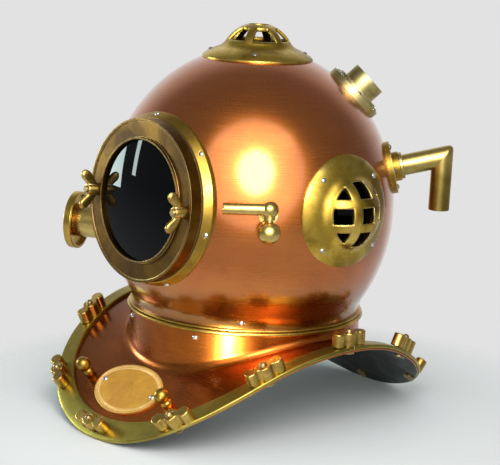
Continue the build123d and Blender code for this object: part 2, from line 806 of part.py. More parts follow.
def door_nut(place):
    """A wing nut with two ears that flare forward from its hub."""
    low = door_face + door_nut_seat_gap
    run = door_nut_ear_tip - door_nut_ear_root
    rise = door_nut_ear_top - door_nut_ear_foot
    upright = Plane(origin=place.origin, x_dir=place.y_dir, z_dir=place.x_dir)
    with BuildPart() as nut:
        add(ring(place, 0, door_nut_hub_radius, low, low + door_nut_hub_length))
        with BuildSketch(upright):
            for side in (-1, 1):
                middle = (side * (door_nut_ear_root + run / 2), low + door_nut_ear_foot + rise / 2)
                with Locations(middle):
                    SlotCenterToCenter(hypot(run, rise), door_nut_ear_width,
                                       rotation=side * degrees(atan2(rise, run)))
        extrude(amount=door_nut_ear_thickness / 2, both=True)
        add(ring(place, 0, door_stud_radius + running_clearance, low - overrun, low + 2 * door_nut_ear_top),
            mode=Mode.SUBTRACT)
    return nut.part


save(door_nut(stud_planes[0]), "door_nut_right")
save(door_nut(stud_planes[1]), "door_nut_left")

# Guarded windows at the top, the left and the right


def guard(place, crown, spokes):
    """A one-piece dished guard with a barred dome, seated on the bonnet."""
    centre = crown + guard_dome_rise - guard_dome_radius
    inner_dome = guard_dome_radius - guard_wall
    inner_base = guard_base_radius - guard_wall
    base = centre + sqrt(guard_dome_radius ** 2 - guard_base_radius ** 2)
    inner_height = centre + sqrt(inner_dome ** 2 - inner_base ** 2)
    low = crown - 2 * guard_drop
    edge = crown - guard_drop + guard_edge_thickness
    slant = cos(radians(45))
    with BuildPart() as casting:
        with BuildSketch(section(place)):
            with BuildLine():
                Polyline((inner_base, low), (guard_radius, low), (guard_radius, edge),
                         (guard_base_radius, base))
                outside = ThreePointArc((guard_base_radius, base),
                                        (guard_dome_radius * slant, centre + guard_dome_radius * slant),
                                        (0, centre + guard_dome_radius))
                inside = ThreePointArc((0, centre + inner_dome),
                                       (inner_dome * slant, centre + inner_dome * slant),
                                       (inner_base, inner_height))
                Line(outside @ 1, inside @ 0)
                Line(inside @ 1, (inner_base, low))
            make_face()
        revolve(axis=spin(place))
        circles = casting.edges().filter_by(GeomType.CIRCLE)
        rims = circles.filter_by(lambda e: e.radius > guard_radius - same_edge)
        fillet(rims.sort_by(spin(place))[-1], guard_edge_round)
        add(whole_bonnet, mode=Mode.SUBTRACT)
        with BuildSketch(Plane(origin=place.origin + place.z_dir * inner_height, x_dir=place.x_dir,
                               z_dir=place.z_dir)):
            Circle(guard_opening_radius)
            if spokes:
                for i in range(guard_spokes):
                    with Locations(Location((0, 0), i * 360 / guard_spokes)):
                        Rectangle(guard_opening_radius, guard_spoke_width, align=(Align.MIN, Align.CENTER),
                                  mode=Mode.SUBTRACT)
                Circle(guard_eye_ring_radius, mode=Mode.SUBTRACT)
                Circle(guard_eye_radius)
            else:
                with Locations((-guard_bar_pitch / 2, 0), (guard_bar_pitch / 2, 0)):
                    Rectangle(guard_bar_width, 2 * guard_opening_radius, mode=Mode.SUBTRACT)
                with Locations((0, -guard_bar_pitch / 2), (0, guard_bar_pitch / 2)):
                    Rectangle(2 * guard_opening_radius, guard_bar_width, mode=Mode.SUBTRACT)
        extrude(amount=guard_dome_radius, mode=Mode.SUBTRACT)
        add(guard_screws, mode=Mode.SUBTRACT)
    return casting.part


seats = []
packings = []
retainers = []
left_guard = guard(left, bonnet_radius, False)
save(guard(top, bonnet_rise, True), "top_guard")
save(left_guard, "left_guard")
save(mirror(left_guard, about=Plane.YZ), "right_guard")
for side, place in guarded.items():
    crown = crown_at[side]
    seat_top = crown - seat_top_drop
    seat_foot = crown - seat_depth
    lip = seat_foot + seat_lip_thickness
    pane_low = lip + pane_gasket_thickness
    pane_radius = seat_radius - seat_wall
    sight = seat_radius - seat_lip
    seats.append(turned(place, [(sight, seat_foot), (seat_radius, seat_foot), (seat_radius, seat_top),
                                (pane_radius, seat_top), (pane_radius, lip), (sight, lip)]))
    packings.append(ring(place, sight, pane_radius, lip, pane_low))
    retainers.append(ring(place, sight, pane_radius, pane_low + pane_thickness, seat_top))
    save(ring(place, 0, pane_radius, pane_low, pane_low + pane_thickness), f"{side}_glass")
save(Compound(children=seats), "window_seats")
save(Compound(children=packings), "window_packings")
save(Compound(children=retainers), "window_retainers")

# Air inlet: flange, elbow and the non-return flap inside

with BuildPart() as inlet_flange:
    add(turned(inlet, [(elbow_radius, -hole_depth), (inlet_flange_radius, -hole_depth),
                       (inlet_flange_radius, inlet_flange_thickness),
                       (inlet_collar_radius, inlet_flange_thickness),
                       (inlet_collar_radius, inlet_collar_height), (elbow_radius, inlet_collar_height)]))
    add(whole_bonnet, mode=Mode.SUBTRACT)
    for place in inlet_screws:
        add(ring(place, 0, screw_shank_radius, -hole_depth, 0), mode=Mode.SUBTRACT)
save(inlet_flange.part, "inlet_flange")

elbow_corner = inlet.from_local_coords((0, 0, elbow_reach))


def elbow_run(radius, extra):
    """A mitred tube from inside the bonnet to the hose end."""
    start = inlet.from_local_coords((0, 0, -spigot_depth - extra))
    end = elbow_corner - Vector(0, 0, elbow_drop + extra)
    with BuildPart() as tube:
        with BuildLine():
            Polyline(start, elbow_corner, end)
        with BuildSketch(Plane(origin=start, x_dir=inlet.x_dir, z_dir=inlet.z_dir)):
            Circle(radius)
        sweep(transition=Transition.RIGHT)
    return tube.part


with BuildPart() as elbow:
    add(elbow_run(elbow_radius, 0))
    add(ring(inlet, elbow_bore, inlet_ring_radius, inlet_collar_height,
             inlet_collar_height + inlet_ring_height))
    add(elbow_run(elbow_bore, overrun), mode=Mode.SUBTRACT)
    hose_end = Plane(origin=elbow_corner - Vector(0, 0, elbow_drop))
    add(ring(hose_end, 0, hose_socket_radius, -overrun, hose_socket_depth), mode=Mode.SUBTRACT)
save(elbow.part, "inlet_elbow")

flap_high = -spigot_depth - flap_gap
flap_axis_height = flap_high - flap_thickness / 2
flap_axis = Plane(origin=inlet.from_local_coords((0, flap_hinge_rise, flap_axis_height)),
                  x_dir=inlet.y_dir, z_dir=inlet.x_dir)
with BuildPart() as flap:
    add(ring(inlet, 0, flap_radius, flap_high - flap_thickness, flap_high))
    with BuildSketch(inlet.offset(flap_high - flap_thickness)):
        Rectangle(flap_barrel_length, flap_hinge_rise, align=(Align.CENTER, Align.MIN))
    extrude(amount=flap_thickness)
    add(ring(flap_axis, 0, flap_barrel_radius, -flap_barrel_length / 2, flap_barrel_length / 2))
    add(ring(flap_axis, 0, flap_pin_radius + running_clearance, -flap_barrel_length, flap_barrel_length),
        mode=Mode.SUBTRACT)
save(flap.part, "non_return_flap")

pin_half = flap_barrel_length / 2 + flap_ear_gap + flap_ear_width
with BuildPart() as flap_hinge:
    add(ring(flap_axis, 0, flap_pin_radius, -pin_half, pin_half))
    for side in (-1, 1):
        ear_middle = side * (pin_half - flap_ear_width / 2)
        with BuildSketch(flap_axis.offset(ear_middle)):
            Circle(flap_barrel_radius)
            Rectangle(2 * flap_barrel_radius, spigot_depth, align=(Align.CENTER, Align.MIN))
        extrude(amount=flap_ear_width / 2, both=True)
    add(bonnet_shell.part, mode=Mode.SUBTRACT)
    add(elbow.part, mode=Mode.SUBTRACT)
save(flap_hinge.part, "flap_hinge")

# Communications fitting with its blanking plug

with BuildPart() as comms_fitting:
    add(turned(comms, [(comms_bore, -hole_depth), (comms_flange_radius, -hole_depth),
                       (comms_flange_radius, comms_flange_thickness),
                       (comms_step_radius, comms_flange_thickness),
                       (comms_step_radius, comms_flange_thickness + comms_step_height),
                       (comms_body_radius, comms_flange_thickness + comms_step_height),
                       (comms_body_radius, comms_body_height), (comms_bore, comms_body_height)]))
    add(whole_bonnet, mode=Mode.SUBTRACT)
    for place in comms_screws:
        add(ring(place, 0, screw_shank_radius, -hole_depth, 0), mode=Mode.SUBTRACT)
save(comms_fitting.part, "comms_fitting")

plug_top = comms_body_height - comms_plug_recess
with BuildPart() as comms_plug:
    add(ring(comms, 0, comms_bore, plug_top - comms_plug_thickness, plug_top))
    with BuildSketch(comms.offset(plug_top)):
        Rectangle(2 * comms_bore, comms_slot_width)
    extrude(amount=-comms_plug_recess, mode=Mode.SUBTRACT)
save(comms_plug.part, "comms_plug")

# Exhaust valve: body, valve disc on its stem, spring and handwheel

with BuildPart() as exhaust_body:
    add(turned(exhaust, [(exhaust_port, exhaust_seat - exhaust_spigot_depth),
                         (exhaust_spigot_radius, exhaust_seat - exhaust_spigot_depth),
                         (exhaust_spigot_radius, exhaust_seat - exhaust_skirt_depth),
                         (exhaust_flange_radius, exhaust_seat - exhaust_skirt_depth),
                         (exhaust_flange_radius, exhaust_flange_end),
                         (exhaust_body_radius, exhaust_flange_end + exhaust_step_height),
                         (exhaust_body_radius, exhaust_body_end), (exhaust_bore, exhaust_body_end),
                         (exhaust_bore, exhaust_seat), (exhaust_port, exhaust_seat)]))
    add(seated_bonnet, mode=Mode.SUBTRACT)
save(exhaust_body.part, "exhaust_body")

disc_top = exhaust_seat + exhaust_disc_thickness
with BuildPart() as exhaust_disc:
    add(ring(exhaust, 0, exhaust_disc_radius, exhaust_seat, disc_top))
    add(ring(exhaust, 0, exhaust_stem_radius, disc_top, disc_top + exhaust_stem_length))
save(exhaust_disc.part, "exhaust_valve_disc")

wheel_low = exhaust_body_end + wheel_gap
wheel_high = wheel_low + wheel_thickness
sleeve_low = wheel_low - wheel_sleeve_length
spring_low = disc_top + spring_wire_radius + spring_gap
spring_high = sleeve_low - spring_wire_radius - spring_gap
with BuildPart() as exhaust_spring:
    with BuildLine():
        coil = Helix(pitch=(spring_high - spring_low) / spring_turns, height=spring_high - spring_low,
                     radius=spring_radius, center=(0, 0, spring_low))
    with BuildSketch(Plane(origin=coil @ 0, z_dir=coil % 0)):
        Circle(spring_wire_radius)
    sweep()
save(exhaust.location * exhaust_spring.part, "exhaust_spring")

with BuildPart() as handwheel:
    add(turned(exhaust, [(wheel_eye_radius, sleeve_low), (exhaust_bore - running_clearance, sleeve_low),
                         (exhaust_bore - running_clearance, wheel_low),
                         (wheel_radius - wheel_lip_width, wheel_low),
                         (wheel_radius - wheel_lip_width, wheel_low - wheel_lip_depth),
                         (wheel_radius, wheel_low - wheel_lip_depth), (wheel_radius, wheel_high),
                         (wheel_dish_radius, wheel_high), (wheel_dish_radius, wheel_high - wheel_dish_depth),
                         (wheel_eye_radius, wheel_high - wheel_dish_depth)]))
    circles = handwheel.edges().filter_by(GeomType.CIRCLE)
    fillet(circles.filter_by(lambda e: e.radius > wheel_radius - same_edge), wheel_edge_round)
    for vent in around(exhaust, wheel_vent_circle, 0, wheel_vent_count, 0):
        add(ring(vent, 0, wheel_vent_radius, sleeve_low - overrun, wheel_high + overrun), mode=Mode.SUBTRACT)
save(handwheel.part, "exhaust_handwheel")

# Spitcock: a ball and spout on a boss, and the ball knob that turns its key

barrel = Plane(origin=spitcock.from_local_coords((0, 0, spitcock_reach)), x_dir=spitcock.x_dir,
               z_dir=spitcock.y_dir)
spout = Plane(origin=spitcock.from_local_coords((0, spitcock_ball_rise, spitcock_reach)),
              x_dir=spitcock.y_dir, z_dir=-spitcock.x_dir)
side_port = Plane(origin=barrel.from_local_coords((0, 0, spitcock_port_rise)), x_dir=spitcock.y_dir,
                  z_dir=-spitcock.x_dir)
with BuildPart() as spitcock_body:
    add(ring(boss, 0, spitcock_plate_radius, -overrun, spitcock_plate_thickness))
    add(whole_bonnet, mode=Mode.SUBTRACT)
    add(ring(boss, 0, spitcock_stem_radius, -overrun, spitcock_reach))
    add(ring(barrel, 0, spitcock_barrel_radius, spitcock_barrel_foot, spitcock_ball_rise))
    with Locations(spout.origin):
        Sphere(spitcock_ball_radius)
    add(ring(spout, 0, spitcock_spout_radius, 0, spitcock_spout_length))
    add(ring(spout, 0, spitcock_spout_bore, spitcock_ball_radius, spitcock_spout_length + overrun),
        mode=Mode.SUBTRACT)
    add(ring(barrel, 0, spitcock_key_radius + running_clearance, spitcock_barrel_foot - overrun,
             spitcock_key_top + running_clearance), mode=Mode.SUBTRACT)
    add(ring(barrel, 0, spitcock_cavity_radius, spitcock_key_top, spitcock_ball_rise), mode=Mode.SUBTRACT)
    add(ring(spout, 0, spitcock_cavity_radius, 0, spitcock_ball_radius), mode=Mode.SUBTRACT)
    add(ring(boss, 0, spitcock_port_radius, -overrun, spitcock_reach), mode=Mode.SUBTRACT)
save(spitcock_body.part, "spitcock_body")

with BuildPart() as spitcock_knob:
    with Locations(barrel.from_local_coords((0, 0, -spitcock_knob_drop))):
        Sphere(spitcock_knob_radius)
    add(ring(barrel, 0, spitcock_key_radius, -spitcock_knob_drop, spitcock_key_top))
    add(ring(barrel, 0, spitcock_port_radius, 0, spitcock_key_top), mode=Mode.SUBTRACT)
    add(ring(side_port, 0, spitcock_port_radius, 0, 2 * spitcock_key_radius), mode=Mode.SUBTRACT)
save(spitcock_knob.part, "spitcock_knob")
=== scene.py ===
"""Copper and brass diving helmet, dressed for the photograph's view."""
import json
from math import acos, asin, atan2, copysign, cos, hypot, pi, radians, sin, tan

import bpy
from mathutils import Matrix, Vector


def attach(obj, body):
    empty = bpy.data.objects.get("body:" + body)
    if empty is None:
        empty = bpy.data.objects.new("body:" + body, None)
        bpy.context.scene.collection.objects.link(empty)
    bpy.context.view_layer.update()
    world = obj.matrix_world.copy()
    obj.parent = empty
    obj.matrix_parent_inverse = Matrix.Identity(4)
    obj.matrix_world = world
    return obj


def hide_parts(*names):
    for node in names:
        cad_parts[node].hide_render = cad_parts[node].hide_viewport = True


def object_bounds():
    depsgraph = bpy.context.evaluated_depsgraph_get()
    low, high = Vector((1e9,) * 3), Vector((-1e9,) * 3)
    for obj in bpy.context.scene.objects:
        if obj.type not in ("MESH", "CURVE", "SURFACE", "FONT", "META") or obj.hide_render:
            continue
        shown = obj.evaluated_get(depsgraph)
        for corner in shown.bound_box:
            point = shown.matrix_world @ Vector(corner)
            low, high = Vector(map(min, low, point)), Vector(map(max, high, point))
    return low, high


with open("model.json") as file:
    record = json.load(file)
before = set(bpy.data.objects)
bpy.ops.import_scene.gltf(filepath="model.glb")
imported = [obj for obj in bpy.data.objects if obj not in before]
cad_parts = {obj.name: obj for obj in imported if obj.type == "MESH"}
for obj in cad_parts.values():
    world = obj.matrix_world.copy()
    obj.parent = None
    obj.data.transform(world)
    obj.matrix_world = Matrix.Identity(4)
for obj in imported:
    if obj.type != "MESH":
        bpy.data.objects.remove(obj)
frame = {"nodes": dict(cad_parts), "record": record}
cad_low, cad_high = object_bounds()
nodes = frame["nodes"]

MM = 0.001
UP = Vector((0, 0, 1))
LEFT = Vector((1, 0, 0))
WHITE = (1, 1, 1)

# Sizes that the dressed pieces share with the CAD model, in metres

BONNET_HEIGHT = 246.5 * MM
BONNET_RADIUS = 168.0 * MM
BONNET_RISE = 182.5 * MM
BONNET_WALL = 2.5 * MM
NECK_BAND_RADIUS = 134.0 * MM
NECK_BLEND_RADIUS = 30.0 * MM
BAND_FOOT = 127.3 * MM
WINDOW_RISE = 5.5 * MM
WINDOW_TILT = radians(3.6)
EXHAUST_BEARING = radians(-58)
EXHAUST_DROP = 43.0 * MM
INLET_BEARING = radians(135)
INLET_TILT = radians(15)
COMMS_BEARING = radians(141)
COMMS_TILT = radians(45)
SPITCOCK_BEARING = radians(55)
SPITCOCK_TILT = radians(4.5)
SPITCOCK_BOSS_RISE = 2.5 * MM
BONNET_MIDDLE = Vector((0, 0, BONNET_HEIGHT))
WINDOW_MIDDLE = Vector((0, 0, BONNET_HEIGHT + WINDOW_RISE))
DOOR_AXIS = Vector((0, -cos(WINDOW_TILT), sin(WINDOW_TILT)))

DOOR_HOLE_RADIUS = 86.0 * MM
GUARD_HOLE_RADIUS = 44.0 * MM
EXHAUST_HOLE_RADIUS = 14.0 * MM
COMMS_HOLE_RADIUS = 16.0 * MM
SPITCOCK_HOLE_RADIUS = 5.5 * MM
HOLE_START = 67.0 * MM
HOLE_END = 2 * BONNET_RADIUS
FITTING_HOLE_REACH = 20.0 * MM

GUARD_DOME_RADIUS = 43.5 * MM
GUARD_DOME_RISE = 27.5 * MM
GUARD_WALL = 3.6 * MM
GUARD_HOLLOW_FOOT = 36.4 * MM
GUARD_BAR_WIDTH = 9.5 * MM
GUARD_BAR_PITCH = 27.0 * MM
GUARD_OPENING = 36.0 * MM
GUARD_SPOKE_WIDTH = 9.0 * MM
GUARD_EYE = 12.5 * MM
GUARD_EYE_RING = 20.0 * MM
GUARD_CUT_LEVELS = (0.34 * MM, 40.0 * MM)

GLASS_BACK = 153.0 * MM
GLASS_FRONT = 161.0 * MM
GLASS_RADIUS = 72.5 * MM
GLASS_EDGE = 67.3 * MM
GLASS_CROWN = 4.5 * MM
GLASS_LIFT = 2.5 * MM
DOOR_FACE = 164.7 * MM
DOOR_STUD_REACH = 78.5 * MM
DOOR_NUT_RADIUS = 6.8 * MM
DOOR_NUT_BORE = 4.05 * MM
DOOR_NUT_START = 0.4 * MM
DOOR_NUT_END = 15.0 * MM

ELBOW_RADIUS = 12.2 * MM
ELBOW_BORE = 9.5 * MM
ELBOW_ROOT = -8.0 * MM
ELBOW_REACH = 61.0 * MM
ELBOW_DROP = 62.0 * MM
ELBOW_RING_RADIUS = 15.5 * MM
ELBOW_RING_START = 11.0 * MM
ELBOW_RING_END = 15.0 * MM
ELBOW_EDGE = 0.5 * MM
ELBOW_LIP = 0.4 * MM
ELBOW_SOCKET_LIP = 0.3 * MM
ELBOW_SOCKET_RADIUS = 10.4 * MM
ELBOW_SOCKET_TOP = 37.0 * MM
ELBOW_OUTER_ROUND = 5.5 * MM
ELBOW_LEAST_ROUND = 0.8 * MM

PLATE_HALF_WIDTH = 185.0 * MM
PLATE_HALF_LENGTH = 220.5 * MM
FRONT_ARC_RADIUS = 222.0 * MM
SIDE_ARC_RADIUS = 334.0 * MM
CORNER_RADIUS = 150.0 * MM
ARCH_HEIGHT = 111.0 * MM
SHOULDER_BEND_RADIUS = 233.0 * MM
SHOULDER_BEND_ANGLE = radians(26)
LOBE_BEND_RADIUS = 385.0 * MM
PLATE_WALL = 3.0 * MM
PLATE_INSET = 1.5 * MM
PLATE_ROLL = 1.0 * MM
COLLAR_RADIUS = 136.0 * MM
COLLAR_TOP = 120.0 * MM
COLLAR_EDGE = 0.4 * MM
COLLAR_FILLET_SIDE = 7.5 * MM
COLLAR_FILLET_FRONT = 15.0 * MM

NAMEPLATE_FORWARD = 169.0 * MM
NAMEPLATE_HALF_WIDTH = 52.0 * MM
NAMEPLATE_HALF_HEIGHT = 33.5 * MM
NAMEPLATE_THICKNESS = 2.0 * MM
NAMEPLATE_GAP = 0.1 * MM
NAMEPLATE_RIM = 3.0 * MM
NAMEPLATE_RIM_HEIGHT = 0.8 * MM
NAMEPLATE_RIM_EDGE = 0.35 * MM
NAMEPLATE_RIM_SLOPE = (0.5 * MM, 0.1 * MM)
TICK_START = 3.8 * MM
TICK_END = 5.9 * MM
TICK_SLOPE = 0.3 * MM
TICK_HEIGHT = 0.45 * MM
TICK_POINTS = 6

BRAIL_WIDTH = 19.0 * MM
BRAIL_THICKNESS = 4.0 * MM
BRAIL_LIFT = 0.05 * MM
BRAIL_EDGE = 1.5 * MM
BRAIL_GAP = 0.6 * MM

# Outlines, given in millimetres

# The guard's section: radius and level, from the bonnet's outside
GUARD_RIM = [(63.6, -13.6), (64.0, -13.2), (64.0, -11.9), (63.9, -11.5)]
GUARD_UNDERSIDE = [(36.4, -5.2), (50.0, -9.0)]
GUARD_FLANGE = [(63.6, -11.2), (58.65, -5.75), (46.0, -1.2)]
GUARD_SHOULDER = [(46.0, -1.2), (40.3, 1.0), (37.5, 6.05)]

# The wing nut's ear from root to tip: how far out and forward it is, its half width and its half depth
EAR_STATIONS = [(3.2, 6.5, 5.8, 3.6), (6.4, 8.4, 5.4, 3.5), (9.6, 10.8, 5.4, 3.3),
                (12.8, 13.6, 5.8, 3.1), (15.8, 16.8, 6.1, 3.0), (18.0, 19.4, 5.4, 2.7),
                (19.5, 21.3, 3.9, 2.1), (20.3, 22.4, 1.7, 1.0)]
EAR_WIDTH_POWER = 0.8
EAR_DEPTH_POWER = 0.6

# How finely the meshes are divided

BONNET_STEPS = 288
DOME_STEPS = 90
FILLET_STEPS = 12
HOLE_STEPS = 96
GUARD_STEPS = 144
GUARD_DOME_STEPS = 20
GLASS_STEPS = 128
GLASS_RINGS = 20
NUT_STEPS = 40
EAR_STEPS = 20
ELBOW_STEPS = 72
PLATE_STEPS = 360
COLLAR_RINGS = 8
SHEET_RINGS = 24
NAMEPLATE_STEPS = 720
NAMEPLATE_RINGS = 12
BRAIL_STEPS = 90
HALVINGS = 50

# What mirrors and the camera see around the object

BACKDROP_COLOUR = (0.76, 0.76, 0.76)
BACKDROP_SIDE = (-0.742, 0.666, 0.06)
ROOM_COLOUR = (0.20, 0.20, 0.205)
LIGHT_COLOUR = (0.41, 0.50, 0.50)
FLOOR_COLOUR = (0.66, 0.66, 0.66)
FLOOR_HALF_SIZE = 6.0
FLOOR_GAP = 0.5 * MM
PANE_COLOUR = (0.82, 1.0, 0.98)
STRIP_COLOUR = (0.86, 1.0, 0.98)

# Camera, fitted to the photograph

IMAGE_WIDTH = 500
CAMERA_AZIMUTH = 0.8402
CAMERA_ELEVATION = 0.1799
CAMERA_ROLL = 0.0508
CAMERA_DISTANCE = 11.325 * BONNET_RADIUS
CAMERA_FOCUS_PIXELS = 1620.4
CAMERA_SENSOR = 36.0
CAMERA_NEAR = 0.01
CAMERA_FAR = 100
TARGET_RIGHT = 0.0101 * BONNET_RADIUS
TARGET_UP = -0.2111 * BONNET_RADIUS


def add_camera():
    """Makes the photograph's camera and returns its right, up and back directions."""
    level = Vector((sin(CAMERA_AZIMUTH), -cos(CAMERA_AZIMUTH), 0))
    back = level * cos(CAMERA_ELEVATION) + UP * sin(CAMERA_ELEVATION)
    right = Vector((cos(CAMERA_AZIMUTH), sin(CAMERA_AZIMUTH), 0))
    position = BONNET_MIDDLE + back * CAMERA_DISTANCE
    target = BONNET_MIDDLE + right * TARGET_RIGHT + back.cross(right) * TARGET_UP
    forward = (target - position).normalized()
    across = forward.cross(UP).normalized()
    upward = across.cross(forward)
    rolled_across = across * cos(CAMERA_ROLL) + upward * sin(CAMERA_ROLL)
    rolled_upward = upward * cos(CAMERA_ROLL) - across * sin(CAMERA_ROLL)
    data = bpy.data.cameras.new("camera")
    data.sensor_width = CAMERA_SENSOR
    data.lens = CAMERA_FOCUS_PIXELS / IMAGE_WIDTH * CAMERA_SENSOR
    data.clip_start = CAMERA_NEAR
    data.clip_end = CAMERA_FAR
    camera = bpy.data.objects.new("camera", data)
    turn = Matrix((rolled_across, rolled_upward, -forward)).transposed().to_4x4()
    camera.matrix_world = Matrix.Translation(position) @ turn
    bpy.context.scene.collection.objects.link(camera)
    bpy.context.scene.camera = camera
    return rolled_across, rolled_upward, -forward


camera_right, camera_up, camera_back = add_camera()

# Shader nodes


def new_material(name):
    material = bpy.data.materials.new(name)
    material.use_nodes = True
    tree = material.node_tree
    tree.nodes.clear()
    output = tree.nodes.new("ShaderNodeOutputMaterial")
    shader = tree.nodes.new("ShaderNodeBsdfPrincipled")
    tree.links.new(shader.outputs["BSDF"], output.inputs["Surface"])
    return material, tree, shader


def place_vector(tree, stretch=(1, 1, 1)):
    """Object coordinates, which are the row frame's metres, stretched where asked."""
    place = tree.nodes.new("ShaderNodeTexCoord").outputs["Object"]
    if stretch == (1, 1, 1):
        return place
    scaler = tree.nodes.new("ShaderNodeVectorMath")
    scaler.operation = "MULTIPLY"
    scaler.inputs[1].default_value = stretch
    tree.links.new(place, scaler.inputs[0])
    return scaler.outputs["Vector"]


def noise(tree, vector, scale, detail, roughness, distortion=0.0):
    made = tree.nodes.new("ShaderNodeTexNoise")
    made.inputs["Scale"].default_value = scale
    made.inputs["Detail"].default_value = detail
    made.inputs["Roughness"].default_value = roughness
    made.inputs["Distortion"].default_value = distortion
    tree.links.new(vector, made.inputs["Vector"])
    return made.outputs["Fac"]


def ramp(tree, value, stops):
    """A colour ramp; stops are (place, colour) pairs."""
    made = tree.nodes.new("ShaderNodeValToRGB")
    elements = made.color_ramp.elements
    while len(elements) < len(stops):
        elements.new(0.5)
    for element, (place, colour) in zip(elements, stops):
        element.position = place
        element.color = (*colour, 1)
    tree.links.new(value, made.inputs["Fac"])
    return made.outputs["Color"]


def spread(tree, value, low, high, start=0.3, end=0.7):
    """Maps a value from start and end to low and high."""
    made = tree.nodes.new("ShaderNodeMapRange")
    made.inputs["From Min"].default_value = start
    made.inputs["From Max"].default_value = end
    made.inputs["To Min"].default_value = low
    made.inputs["To Max"].default_value = high
    tree.links.new(value, made.inputs["Value"])
    return made.outputs["Result"]


def set_or_link(tree, socket, value):
    """Links a socket to another node's output, or sets it to a number or a colour."""
    if hasattr(value, "links"):
        tree.links.new(value, socket)
    else:
        socket.default_value = value


def mix_colour(tree, fac, first, second, mode="MIX"):
    made = tree.nodes.new("ShaderNodeMix")
    made.data_type = "RGBA"
    made.blend_type = mode
    for name, value in (("Factor", fac), ("A", first), ("B", second)):
        socket = [s for s in made.inputs if s.name == name and s.enabled][0]
        set_or_link(tree, socket, (*value, 1) if isinstance(value, tuple) else value)
    return [s for s in made.outputs if s.name == "Result" and s.enabled][0]


def multiply_colour(tree, first, second):
    return mix_colour(tree, 1.0, first, second, "MULTIPLY")


def calculate(tree, operation, first, second):
    made = tree.nodes.new("ShaderNodeMath")
    made.operation = operation
    set_or_link(tree, made.inputs[0], first)
    set_or_link(tree, made.inputs[1], second)
    return made.outputs["Value"]


def weighted_sum(tree, first, first_weight, second, second_weight):
    return calculate(tree, "ADD", calculate(tree, "MULTIPLY", first, first_weight),
                     calculate(tree, "MULTIPLY", second, second_weight))


def bumped_normal(tree, height, strength, distance, under=None):
    """The normal with a relief, laid over another normal where there is one."""
    made = tree.nodes.new("ShaderNodeBump")
    made.inputs["Strength"].default_value = strength
    made.inputs["Distance"].default_value = distance
    tree.links.new(height, made.inputs["Height"])
    if under:
        tree.links.new(under, made.inputs["Normal"])
    return made.outputs["Normal"]


def rounded_normal(tree, radius):
    """The normal as if edges were rounded by a radius."""
    made = tree.nodes.new("ShaderNodeBevel")
    made.samples = 6
    made.inputs["Radius"].default_value = radius
    return made.outputs["Normal"]


def worn_edges(tree, colour, edge_colour, radius):
    """Brighter metal where edges are rubbed."""
    geometry = tree.nodes.new("ShaderNodeNewGeometry")
    dot = tree.nodes.new("ShaderNodeVectorMath")
    dot.operation = "DOT_PRODUCT"
    tree.links.new(rounded_normal(tree, radius), dot.inputs[0])
    tree.links.new(geometry.outputs["Normal"], dot.inputs[1])
    wear = spread(tree, dot.outputs["Value"], 1.0, 0.0, start=0.80, end=0.99)
    return mix_colour(tree, wear, colour, edge_colour)


def tint_by_place(tree, place, colour, tints):
    """Darker or redder metal toward one side, mostly painted shade where less light falls; each tint has an
    axis, two places along it and a colour.
    """
    split = tree.nodes.new("ShaderNodeSeparateXYZ")
    tree.links.new(place, split.inputs[0])
    for axis, start, end, tint in tints:
        share = spread(tree, split.outputs[axis], 0.0, 1.0, start, end)
        colour = mix_colour(tree, share, colour, multiply_colour(tree, colour, tint))
    return colour


# Materials


def copper_metal(name, colours, tints, coat):
    """Spun copper under lacquer: soft patches of darker antique finish and faint level spinning lines."""
    material, tree, shader = new_material(name)
    place = place_vector(tree)
    broad = noise(tree, place, scale=5, detail=3, roughness=0.5, distortion=0.8)
    patches = noise(tree, place_vector(tree, (1, 1, 2.4)), scale=12, detail=6, roughness=0.62, distortion=0.5)
    lines = noise(tree, place_vector(tree, (1, 1, 30)), scale=22, detail=4, roughness=0.6)
    specks = noise(tree, place, scale=260, detail=3, roughness=0.6)
    dents = noise(tree, place, scale=14, detail=2, roughness=0.4)
    colour = ramp(tree, weighted_sum(tree, broad, 0.6, patches, 0.4), list(zip((0.36, 0.50, 0.64), colours)))
    colour = multiply_colour(tree, colour, ramp(tree, lines, [(0.30, (0.93, 0.91, 0.89)), (0.60, WHITE)]))
    colour = multiply_colour(tree, colour, ramp(tree, specks, [(0.26, (0.80, 0.76, 0.72)), (0.36, WHITE)]))
    # Where tints are given, they darken the metal toward one side, mostly as painted shade.
    tree.links.new(tint_by_place(tree, place, colour, tints), shader.inputs["Base Color"])
    shader.inputs["Metallic"].default_value = 1.0
    rough = calculate(tree, "ADD", spread(tree, patches, 0.30, 0.22), spread(tree, lines, -0.02, 0.02))
    tree.links.new(rough, shader.inputs["Roughness"])
    shader.inputs["Coat Weight"].default_value = coat
    shader.inputs["Coat Roughness"].default_value = 0.13
    beaten = bumped_normal(tree, dents, strength=0.16, distance=1.2 * MM)
    relief = weighted_sum(tree, lines, 0.6, specks, 0.15)
    normal = bumped_normal(tree, relief, strength=0.06, distance=0.15 * MM, under=beaten)
    tree.links.new(normal, shader.inputs["Normal"])
    return material


